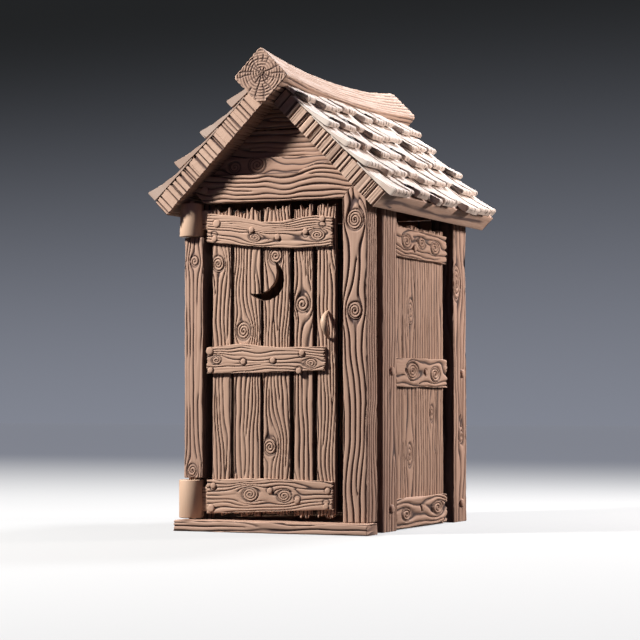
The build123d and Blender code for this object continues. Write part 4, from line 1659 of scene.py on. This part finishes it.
    def deck_plank(self, number: int, down: float, wood: float, side: float, seed: int) -> Shell:
        """One deck plank, its two ends cut back by their splits and teeth.

        Args:
            number: its place down the slope.
            down: where it starts down the slope.
            wood: its width.
            side: 1 for the right slope, -1 for the left.
            seed: the slope's draw.

        Returns:
            The closed plank.
        """
        place, normal, run = round_section(wood, self.deck, 0.003, (0.0044, 0.03, 0.0044, 0.03))
        length = 2 * self.half_length
        rows = row_places(length, 0.2, [(0, 0.03, 0.0075), (length, 0.03, 0.0075)])
        ragged, far = (self.split_end(place[:, 0], wood, seed + 2 * number + k) for k in (0, 1))
        back, shade = lattice(np.array([number, number]), np.array([3, 1]), seed)
        y = rows[:, None] - self.half_length
        y = y + (ragged + 0.004 * back)[None] * np.clip(1 - rows[:, None] / 0.05, 0, 1)
        y = y - (far + 0.004 * back)[None] * np.clip(1 - (length - rows[:, None]) / 0.05, 0, 1)
        s = np.repeat(run[None], len(rows), 0)
        grain = Grain(spacing=0.021, depth=0.003, forks=1, wave=0.006)
        look = grain.flow(y, s, (length, wood), seed + number)
        ends = np.minimum(rows, length - rows)[:, None]
        # Painted shade in the deep splits of each end.
        split_shade = ramp(np.where(y < 0, ragged[None], far[None]), 0.005, 0.01)
        look.painted_shade = np.where(ends < 0.012, split_shade, 0 * y)
        look.strength = np.where(ends < 0.03, 0.0, look.strength)
        depth = look.depth * 0.8
        o = self.deck / 2 + place[None, :, 1] - normal[None, :, 1] * depth
        u = down + wood / 2 + side * place[None, :, 0] - side * normal[None, :, 0] * depth
        x, z = self.on_slope(u, o, side)
        # The end faces are painted paler through the wear channel: a painted highlight for the key
        # light on the rake ends.
        return closed_bar(np.stack([x, y, z], -1), look.ring(),
            look.tone(float(shade * 0.24 - 0.1), np.where(ends < 0.004, 0.35, 0.0)),
            np.stack([y + number, s], -1), place)

    def ridge_outline(self, side: float) -> Array:
        """The log's section as (x, z) corners, from the middle of its foot round its top."""
        foot = np.array(self.on_slope(self.seat, 0.0, 1.0))
        corner = np.array(self.on_slope(self.seat, side, 1.0))
        top, wear = corner[1] + corner[0], self.ridge_wear
        reach = corner[0] - wear
        half = [foot, (reach, corner[1] - wear), (reach, corner[1] + wear), (wear, top - wear)]
        return np.array([(0.0, foot[1])] + [(-x, z) for x, z in half] + half[::-1]
            + [(0.0, foot[1])])

    def ridge_log(self) -> list[Shell]:
        """The ridge log: a square section on its corner, worn down in the middle.

        Each place round the outline is blended between the mid section and the end section by
        the square of its distance from the middle. Its ends are closed by rings that shrink
        to the heart, cut by growth rings and by cracks that run out from the heart.

        Returns:
            The log's shell.
        """
        middle, end = (self.ridge_outline(s) for s in self.ridge_side)
        gaps = np.linalg.norm(np.diff(end, axis=0), axis=1)
        marks = np.concatenate([[0], np.cumsum(gaps)])
        count = round(marks[-1] / self.log_step)
        run = np.arange(count) * marks[-1] / count
        ring_of = [np.stack([np.interp(run, marks, p[:, 0]), np.interp(run, marks, p[:, 1])], -1)
            for p in (middle, end)]
        half = self.half_length + self.ridge_overhang
        rows = row_places(2 * half, 0.016, [(0, 0.012, 0.004), (2 * half, 0.012, 0.004)])
        y = rows - half
        w = (y / half)[:, None, None] ** 2
        flat = ring_of[0] * (1 - w) + ring_of[1] * w
        tangent = np.roll(flat, -1, axis=1) - np.roll(flat, 1, axis=1)
        tangent /= np.linalg.norm(tangent, axis=-1, keepdims=True)
        normal = np.stack([-tangent[..., 1], tangent[..., 0]], -1)
        face = float(marks[4] - marks[3])
        knot = Knot(1.62, float(marks[6]) + self.log_knot_run, 0.046, 0.017)
        grain = Grain(spacing=face / 7, depth=0.008, share=0.19, pillow=0.0008, wave=0.009,
            wave_length=0.4, forks=0, fade=0.5, knots=(knot,))
        u = np.repeat(rows[:, None], count, 1)
        s = np.repeat(run[None], len(rows), 0)
        start = np.where(s < marks[len(marks) // 2], marks[3], marks[6])
        look = grain.flow(u, s - start, (2 * half, marks[-1]), 301)
        edge = bell(np.min(np.abs(run[:, None] - marks[None]), axis=1), 0.01)[None]
        ends = np.minimum(rows, 2 * half - rows)[:, None]
        depth = (look.depth * (0.3 + 0.7 * ramp(ends, 0.0, 0.09))
            + edge * (0.002 + 0.006 * noise(u / 0.06, s * 0, 302) ** 2))
        depth = depth + 0.006 * drop(np.clip(1 - ends / 0.006, 0, 1))
        depth = np.where(flat[..., 1] < middle[0, 1] + 0.004, 0, depth)
        flat = flat + normal * depth[..., None] * self.inward(normal, flat)
        points = np.stack([flat[..., 0], np.repeat(y[:, None], count, 1), flat[..., 1]], -1)
        index = np.arange(len(rows) * count).reshape(len(rows), count)
        parts = [Shell(points.reshape(-1, 3), closed_quads(index, True), np.zeros((0, 3), int),
            look.ring().reshape(-1, 3), look.tone(0.05, edge).reshape(-1, 3),
            np.stack([u, s], -1).reshape(-1, 2))]
        for row, way in ((0, -1.0), (len(rows) - 1, 1.0)):
            before = sum(len(part.points) for part in parts)
            parts.append(self.log_end(points[row], index[row], way, before))
        return [Shell.joined(parts, counted=True)]

    def log_end(self, rim: Array, edge: Array, way: float, before: int) -> Shell:
        """Close one end of the log with rings that shrink to its heart.

        Growth rings lie where the distance from the heart, made to wobble by noise, is a whole
        number of ring pitches. Cracks lie where the angle over a turn, times their count and
        shifted by noise, is whole. Both are sunk into the end.

        Args:
            rim: the end row's places.
            edge: the end row's vertex numbers.
            way: 1 for the rear end, -1 for the front.
            before: how many vertices come before the end's own.

        Returns:
            The end, its faces numbered over the whole log.
        """
        count, rings = len(edge), self.end_rings
        heart = np.array((self.log_heart[0], rim[0, 1], self.log_heart[1]))
        shrink = np.linspace(1, 0.05, rings + 1)[1:, None, None]
        disc = heart + (rim - heart)[None] * shrink
        offset = disc[..., [0, 2]] - heart[[0, 2]]
        rho = np.linalg.norm(offset, axis=-1)
        angle = np.arctan2(offset[..., 1], offset[..., 0])
        wobble = 1 + 0.05 * noise(np.cos(angle) * 1.5 + 5, np.sin(angle) * 1.5, 303)
        phase = rho * wobble / self.ring_pitch
        fading = noise(angle * 2.2 + 9, np.round(phase) * 1.7, 304)
        strength = 0.55 + 0.45 * ramp(fading, -0.5, 0.2)
        spokes = angle / TURN * self.cracks + 0.35 * noise(angle, rho / 0.05, 305)
        crack = bell((spokes - np.round(spokes)) * TURN / self.cracks * rho, self.crack_width)
        crack = crack * ramp(noise(np.round(spokes) * 3.3, rho / 0.045, 306), -0.55, 0.0)
        cosine, sine, t = wound(phase)
        cut = bell(t, self.ring_share) * strength
        sink = self.end_sink * np.maximum(cut, crack) * np.clip((1 - shrink[..., 0]) / 0.08, 0, 1)
        disc[..., 1] -= way * sink
        chain = np.vstack([edge, before + np.arange(rings * count).reshape(rings, count)])
        caps = closed_quads(chain, True)
        fan = np.stack([chain[-1], np.full(count, before + rings * count), np.roll(chain[-1], -1)],
            -1)
        if way < 0:
            caps, fan = caps[:, ::-1], fan[:, ::-1]
        # Painted shade in the cracks, the cut rings and the heart.
        look = Carving(cosine, sine, strength, sink, np.maximum(crack, cut * 0.8))
        return Shell(np.vstack([disc.reshape(-1, 3), heart]), caps, fan,
            np.vstack([look.ring().reshape(-1, 3), (1.0, 0.0, 1.0)]),
            np.vstack([look.tone(-0.45, 0.0).reshape(-1, 3), (-0.25, 0.0, 0.5)]),
            np.vstack([np.stack([rho, angle * 0.05], -1).reshape(-1, 2), (0.0, 0.0)]))

    def inward(self, normal: Array, flat: Array) -> Array:
        """1 where the normal points to the log's heart, and -1 where it points away."""
        heart = np.array((0.0, 2.68))
        return np.sign(np.sum(normal * (heart - flat), axis=-1, keepdims=True))

    def build(self, shop: Workshop) -> None:
        """Make and place the deck, the shakes and the ridge log."""
        for (side, word), count in zip(SIDES, (5, 4)):
            deck = self.deck_planks(side, 200 if side > 0 else 220)
            shop.stand_in(f"roof_deck_{word}", deck, Slot.ROOF, "riven")
            for number in range(count):
                phase = 2 * number if side > 0 else 3 * number + 4
                seed = 400 + 20 * number + (200 if side < 0 else 0)
                shop.stand_in(f"shakes_{word}_{number + 1}",
                    self.course(number, count, phase, side, seed), Slot.SHAKE, "split")
        shop.place("ridge_log_carved", self.ridge_log(), Slot.ROOF, Body.HOUSE, "ridge_beam")


# --- door
@dataclass
class Handle:
    """The bowed grip: an ellipse carried along an arc, drawn to points at both ends."""

    x: float = 0.339
    foot: float = 1.146
    height: float = 0.164
    reach: float = 0.065
    sunk: float = 0.006
    sway: float = 0.004
    wide: float = 0.0205
    deep: float = 0.015
    along: int = 33
    around: int = 20

    def shell(self, face: float) -> Shell:
        """Carry the section along the bow.

        At t of the way, height runs evenly, the reach is its whole times sin(pi t)^0.8, and
        the section's half axes are their middle values times sin(pi t)^0.45, and no less
        than 0.3 of them.

        Args:
            face: the y of the planks' face.

        Returns:
            The closed grip.
        """
        t = np.linspace(0, 1, self.along)
        swell = np.maximum(np.sin(math.pi * t) ** 0.45, 0.3)[:, None]
        z = self.foot + self.height * t
        y = face + self.sunk - self.reach * np.sin(math.pi * t) ** 0.8
        path = np.stack([y, z], -1)
        tangent = np.gradient(path, axis=0)
        tangent /= np.linalg.norm(tangent, axis=1, keepdims=True)
        angle = np.arange(self.around) * TURN / self.around
        x = self.x + self.sway * np.sin(TURN * t)[:, None] + self.wide * swell * np.cos(angle)
        out = np.stack([-tangent[:, 1], tangent[:, 0]], -1)
        yz = path[:, None] + (self.deep * swell * np.sin(angle))[..., None] * out[:, None]
        count = self.along * self.around
        index = np.arange(count).reshape(self.along, self.around)
        low, high = (np.stack([row[1:-1], row[2:], np.full(self.around - 2, row[0])], -1)
            for row in (index[0], index[-1]))
        places = np.stack([np.repeat(z, self.around), np.tile(angle * 0.02, self.along)], -1)
        return Shell(np.stack([x, yz[..., 0], yz[..., 1]], -1).reshape(-1, 3),
            closed_quads(index, True), np.vstack([low, high[:, ::-1]]), np.zeros((count, 3)),
            np.tile((0.12, 0.2, 0.0), (count, 1)), places)


@dataclass
class Door:
    """The plank leaf with its battens, barrels, crescent and handle."""

    face: float = -0.807
    thickness: float = 0.036
    left: float = -0.425
    gaps: Row = (0.016, 0.014, 0.022, 0.024)
    shares: Row = (0.174, 0.246, 0.241, 0.172, 0.167)
    wood: float = 0.739
    head: float = 1.904
    head_splinter: float = 0.05
    head_drops: Row = (0.0, 0.012, 0.0, 0.002, 0.0)
    foot: float = 0.082
    foot_rises: Row = (0.008, 0.0, 0.012, 0.002, 0.006)
    batten_proud: float = 0.02
    batten_left: float = -0.456
    batten_right: float = 0.384
    moon: Pair = (-0.0722, 1.501)
    moon_radius: float = 0.126
    bite: Pair = (-0.056, 0.048)
    bite_radius: float = 0.132
    hinge: Pair = (-0.565, -0.8)
    seat: float = 0.0003
    bore: float = 0.0166
    barrel_round: float = 0.006
    nails: Point = (0.025, 0.019, 0.01)

    def planks(self) -> list[Timber]:
        """The five planks, narrow gaps between them and their ends broken to splinters."""
        knots = {0: (Knot(-0.385, 1.602, 0.044, 0.0165),),
            1: (Knot(-0.214, 1.195, 0.048, 0.0165, -1.0),),
            2: (Knot(-0.002, 1.64, 0.046, 0.0165), Knot(-0.04, 0.503, 0.044, 0.0165)),
            3: (Knot(0.173, 1.349, 0.044, 0.021),)}
        made, edge = [], self.left
        for i, (share, gap) in enumerate(zip(self.shares, self.gaps + (0.0,))):
            grain = Grain(spacing=0.0245, depth=0.0072, share=0.14, wave=0.026, wave_length=0.34,
                wave_breadth=0.12, forks=8, knots=knots.get(i, ()), fade=0.65)
            width = self.wood * share
            made.append(Timber((edge, self.face, self.foot + self.foot_rises[i]),
                (edge + width, self.face + self.thickness,
                self.head + self.head_splinter - self.head_drops[i]), Way.UP, Way.FRONT, grain,
                501 + i, steps=(0.0045, 0.009, 0.018, 0.009), row_step=0.0132,
                start=End(0.036, 0.018), finish=End(0.058, 0.0165), edge_wave=(0.003, 0.003),
                side_share=0.3, painted_side_shade=(0.9, 0.9), tint=0.1 + 0.04 * ((i * 2) % 3 - 1)))
            edge += width + gap
        return made

    def batten(self, z0: float, z1: float, right: float, lower: Line, upper: Line,
               knots: tuple[Knot, ...], nails: Line, seed: int) -> list[Shell]:
        """One batten across the planks, its edges bent, its ends split and its nails proud.

        Args:
            z0: its lowest edge.
            z1: its highest edge.
            right: its free end.
            lower: bend of the lower edge.
            upper: bend of the upper edge.
            knots: its knots.
            nails: (x, z) of its nail heads.
            seed: which draw.

        Returns:
            The batten and its nail heads.
        """
        near, back = self.face - self.batten_proud, self.face - self.seat
        grain = Grain(spacing=0.0235, depth=0.005, share=0.13, wave=0.027, wave_length=0.25,
            wave_breadth=0.11, forks=7, knots=knots, fade=0.15, nails=nails, nail_radius=0.0205)
        board = Timber((self.batten_left, near, z0), (right, back, z1), Way.RIGHT, Way.FRONT, grain,
            seed, steps=(0.004, 0.007, 0.02, 0.007), row_step=0.0085, start=End(0.012, 0.015),
            finish=End(0.022, 0.017), lower=upper, upper=lower, edge_wave=(0.004, 0.004), tint=0.06)
        first, other, rise = self.nails
        return [board.shell()] + [nail_head((x, near + 0.0045, z), Way.FRONT,
            first if i == 0 else other, rise) for i, (x, z) in enumerate(nails)]

    def battens(self) -> dict[str, list[Shell]]:
        """The three battens by name."""
        return {"bottom": self.batten(0.1, 0.322, self.batten_right, ((0.0, 0.0), (0.84, 0.038)),
            ((0.0, 0.014), (0.28, 0.0), (0.55, 0.004), (0.84, 0.01)),
            (Knot(-0.16, 0.216, 0.048, 0.016), Knot(0.065, 0.205, 0.044, 0.016, -1.0)),
            ((-0.42, 0.135), (-0.405, 0.27), (-0.03, 0.245), (0.15, 0.19), (0.345, 0.25),
            (0.335, 0.16)), 521),
            "middle": self.batten(0.939, 1.123, 0.334, ((0.0, 0.0), (0.4, 0.004), (0.79, 0.014)),
            ((0.0, 0.02), (0.24, 0.0), (0.48, 0.024), (0.79, 0.022)),
            (Knot(-0.385, 1.03, 0.03, 0.014), Knot(0.235, 0.998, 0.036, 0.0145, -1.0)),
            ((-0.43, 1.078), (-0.425, 0.962), (0.18, 1.062), (-0.01, 1.02), (-0.205, 1.012),
            (0.16, 0.955)), 522),
            "top": self.batten(1.68, 1.915, self.batten_right,
            ((0.0, 0.051), (0.36, 0.014), (0.56, 0.0), (0.84, 0.004)),
            ((0.0, 0.0), (0.18, 0.022), (0.38, 0.066), (0.52, 0.062), (0.72, 0.04), (0.84, 0.055)),
            (Knot(-0.132, 1.76, 0.036, 0.0145, -1.0), Knot(0.28, 1.768, 0.044, 0.0155)),
            ((-0.385, 1.845), (-0.4, 1.752), (0.02, 1.752), (0.202, 1.778), (0.312, 1.85),
            (-0.152, 1.8)), 523)}

    def crescent(self, name: str) -> bpy.types.Object:
        """The cutter for the moon: the outer arc, then the bite's arc back, made a prism.

        Args:
            name: the cutter's name.

        Returns:
            The cutter.
        """
        centre, bite = np.array(self.moon), np.array(self.moon) + np.array(self.bite)
        gap = float(np.linalg.norm(bite - centre))
        aim = math.atan2(*(bite - centre)[::-1])
        reach = (gap**2 + self.moon_radius**2 - self.bite_radius**2) / (2 * gap)
        spread = math.acos(reach / self.moon_radius)
        far = math.acos((gap - reach) / self.bite_radius)
        outer = np.linspace(aim + spread, aim + TURN - spread, 56)
        inner = np.linspace(aim + math.pi + far, aim + math.pi - far, 40)[1:-1]
        ragged = 0.0022 * noise(outer * 9, outer * 0, 77)[:, None]
        ring = np.vstack([centre
            + (self.moon_radius + ragged) * np.stack([np.cos(outer), np.sin(outer)], -1),
            bite + self.bite_radius * np.stack([np.cos(inner), np.sin(inner)], -1)])
        n = len(ring)
        near = np.insert(ring, 1, self.face - 0.1, axis=1)
        far_side = np.insert(ring, 1, self.face + 0.1, axis=1)
        made = bpy.data.meshes.new(name)
        index = np.arange(n)
        sides = np.stack([index + n, np.roll(index, -1) + n, np.roll(index, -1), index], -1)
        made.from_pydata(np.vstack([near, far_side]).tolist(), [],
            [list(range(n)), list(range(n, 2 * n))[::-1]] + sides.tolist())
        # The cut's inner walls take their tone from the cutter: a little painted shade.
        for label, value in (("ring", (-1.0, 0.0, 0.0)), ("tone", (-0.1, 0.0, 0.25))):
            carry(made, label, np.tile(value, len(made.loops)))
        return put(name, made)

    def cut_moon(self, piece: bpy.types.Object) -> None:
        """Cut the crescent through the planks, and keep the cut mesh."""
        cutter = self.crescent("moon_cutter")
        cut = piece.modifiers.new("moon", "BOOLEAN")
        cut.object, cut.operation, cut.solver = cutter, "DIFFERENCE", "EXACT"
        graph = bpy.context.evaluated_depsgraph_get()
        opened = bpy.data.meshes.new_from_object(piece.evaluated_get(graph))
        piece.modifiers.clear()
        piece.data = opened
        bpy.data.objects.remove(cutter)

    def barrel(self, z0: float, z1: float, top: float, bottom: float) -> list[Shell]:
        """A turned barrel, bored for its pin, and the arm that holds the leaf.

        Args:
            z0: its foot.
            z1: its top.
            top: its radius at the top.
            bottom: its radius at the foot.

        Returns:
            The barrel and the arm.
        """
        r = self.barrel_round
        outline = ((self.bore, z1), (top - r, z1), (top - 0.3 * r, z1 - 0.3 * r), (top, z1 - r),
            ((top + bottom) / 2, (z0 + z1) / 2), (bottom, z0 + r), (bottom - 0.3 * r, z0 + 0.3 * r),
            (bottom - r, z0), (self.bore, z0))
        arm = Timber((self.hinge[0] + 0.05, self.face, z0 + 0.04),
            (self.left - self.seat, self.face + 0.029, z1 - 0.04), Way.RIGHT, Way.FRONT,
            Grain(depth=0.002), 540, steps=(0.01, 0.02, 0.02, 0.02), row_step=0.02)
        return [turned(self.hinge, outline, 72, 0.1), arm.shell()]

    def build(self, shop: Workshop) -> None:
        """Make and place the door."""
        leaf = shop.stand_in("door_planks", [t.shell() for t in self.planks()], Slot.BOARD,
            body=Body.DOOR)
        self.cut_moon(leaf)
        for word, shells in self.battens().items():
            shop.stand_in(f"door_batten_{word}", shells, Slot.BOARD, body=Body.DOOR)
        for word, sizes in (("bottom", (0.075, 0.304, 0.075, 0.075)),
            ("top", (1.77, 1.972, 0.0705, 0.075))):
            shop.stand_in(f"hinge_barrel_{word}", self.barrel(*sizes), Slot.TURNED, "turned",
                Body.DOOR)
        shop.stand_in("door_handle", [Handle().shell(self.face)], Slot.TURNED, "bowed", Body.DOOR)
        shop.dress("hinge_pins", Slot.TURNED)


# --- studio
@dataclass
class Studio:
    """Floor, backdrop, lamps and camera."""

    lens: float = 118.556
    place: Point = (5.367, -12.115, 0.7633)
    yaw: float = 24.188
    pitch: float = 2.267
    sky_colour: Row = (0.46, 0.34, 0.62, 1.0)
    sky_strength: float = 0.11

    def camera(self) -> None:
        """Put the camera in place, looking along its yaw and pitch."""
        data = bpy.data.cameras.new("camera")
        data.lens, data.sensor_width = self.lens, 36.0
        made = put("camera", data)
        made.location = self.place
        made.rotation_euler = (math.radians(90 + self.pitch), 0.0, math.radians(self.yaw))
        bpy.context.scene.camera = made

    def backdrop_material(self, name: str, near: Point, far: Point, axis: str, low: float,
                          high: float, lit: float) -> Material:
        """A plain surface whose colour runs from near to far along one Object axis.

        Args:
            name: the material's name.
            near: colour at low, as the camera sees it.
            far: colour at high, as the camera sees it.
            axis: X, Y or Z of the Object coordinates.
            low: where the run starts.
            high: where it ends.
            lit: share of the colour that comes from the lamps, and takes the shadow.

        Returns:
            The material.
        """
        made, wires, shader = new_material(name)
        tree = wires.tree
        coords = tree.nodes.new("ShaderNodeTexCoord")
        parts = tree.nodes.new("ShaderNodeSeparateXYZ")
        tree.links.new(coords.outputs["Object"], parts.inputs[0])
        share = wires.spread(parts.outputs[axis], low, high, 0.0, 1.0)
        colour = wires.mix(share, (*near, 1.0), (*far, 1.0))
        tree.links.new(colour, shader.inputs["Emission Color"])
        shader.inputs["Roughness"].default_value = 0.8
        shader.inputs["Specular IOR Level"].default_value = 0.1
        rays = tree.nodes.new("ShaderNodeLightPath")
        seen = wires.sum("MAXIMUM", rays.outputs["Is Camera Ray"], rays.outputs["Is Glossy Ray"])
        seen = wires.sum("MAXIMUM", seen, rays.outputs["Is Transmission Ray"])
        taken = wires.mix(wires.times(seen, lit), (0.0, 0.0, 0.0, 1.0), colour)
        tree.links.new(taken, shader.inputs["Base Color"])
        tree.links.new(wires.times(seen, 1.0 - lit), shader.inputs["Emission Strength"])
        return made

    def sheet(self, name: str, corners: list[Point], material: Material) -> None:
        """A flat piece of the stage through four corners.

        Args:
            name: its name.
            corners: in order round it.
            material: what it wears.
        """
        mesh = bpy.data.meshes.new(name)
        mesh.from_pydata(corners, [], [(0, 1, 2, 3)])
        mesh.materials.append(material)
        put(name, mesh)

    def surroundings(self) -> None:
        """A wide floor, and a flat upright backdrop far behind."""
        self.sheet("floor", [(-60, -30, 0), (60, -30, 0), (60, 60, 0), (-60, 60, 0)],
            self.backdrop_material("pale_floor", (0.75, 0.755, 0.765), (0.27, 0.285, 0.335), "Y",
            2.0, 16.0, 0.22))
        self.sheet("backdrop", [(-60, 58, -0.1), (60, 58, -0.1), (60, 58, 50), (-60, 58, 50)],
            self.backdrop_material("dusk_backdrop", (0.235, 0.25, 0.3), (0.016, 0.017, 0.018), "Z",
            -3.0, 16.0, 0.0))

    def lamp(self, name: str, place: Point, aim: Point, size: float, power: float,
             colour: Point) -> None:
        """Add one square area lamp aimed at a point.

        Args:
            name: its name.
            place: where it stands.
            aim: where it points.
            size: its edge.
            power: in watts.
            colour: its colour.
        """
        data = bpy.data.lights.new(name, "AREA")
        data.size, data.energy, data.color = size, power, colour
        made = put(name, data)
        made.location = place
        made.rotation_euler = (Vector(aim) - Vector(place)).to_track_quat("-Z", "Y").to_euler()

    def lights(self) -> None:
        """A key from the front left, a lamp behind, a warm one at the side, a dim violet sky."""
        self.lamp("key", (-6.1, -5.9, 8.0), (0, -0.8, 1.3), 1.3, 2650, (1.0, 0.965, 0.9))
        self.lamp("rim", (1.3, 4.6, 7.2), (0.3, 0.0, 2.2), 1.2, 820, (0.96, 0.98, 1.0))
        self.lamp("side", (5.4, 3.6, 3.4), (0.6, 0.0, 1.2), 1.2, 540, (1.0, 0.885, 0.8))
        world = bpy.data.worlds.new("sky")
        world.use_nodes = True
        sky = world.node_tree.nodes["Background"].inputs
        sky[0].default_value, sky[1].default_value = self.sky_colour, self.sky_strength
        bpy.context.scene.world = world
        bpy.context.scene.view_settings.view_transform = "Standard"

    def build(self) -> None:
        """Set the whole stage."""
        self.camera()
        self.surroundings()
        self.lights()


def main() -> None:
    """Build the outhouse sub-assembly by sub-assembly."""
    logging.basicConfig(level=logging.INFO, format="%(name)s: %(message)s")
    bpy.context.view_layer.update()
    shop = Workshop()
    Studio().build()
    Frame().build(shop)
    Walls().build(shop)
    Roof().build(shop)
    Door().build(shop)
    LOG.info("%d triangles in all", shop.triangles)


if __name__ == "__main__":
    main()
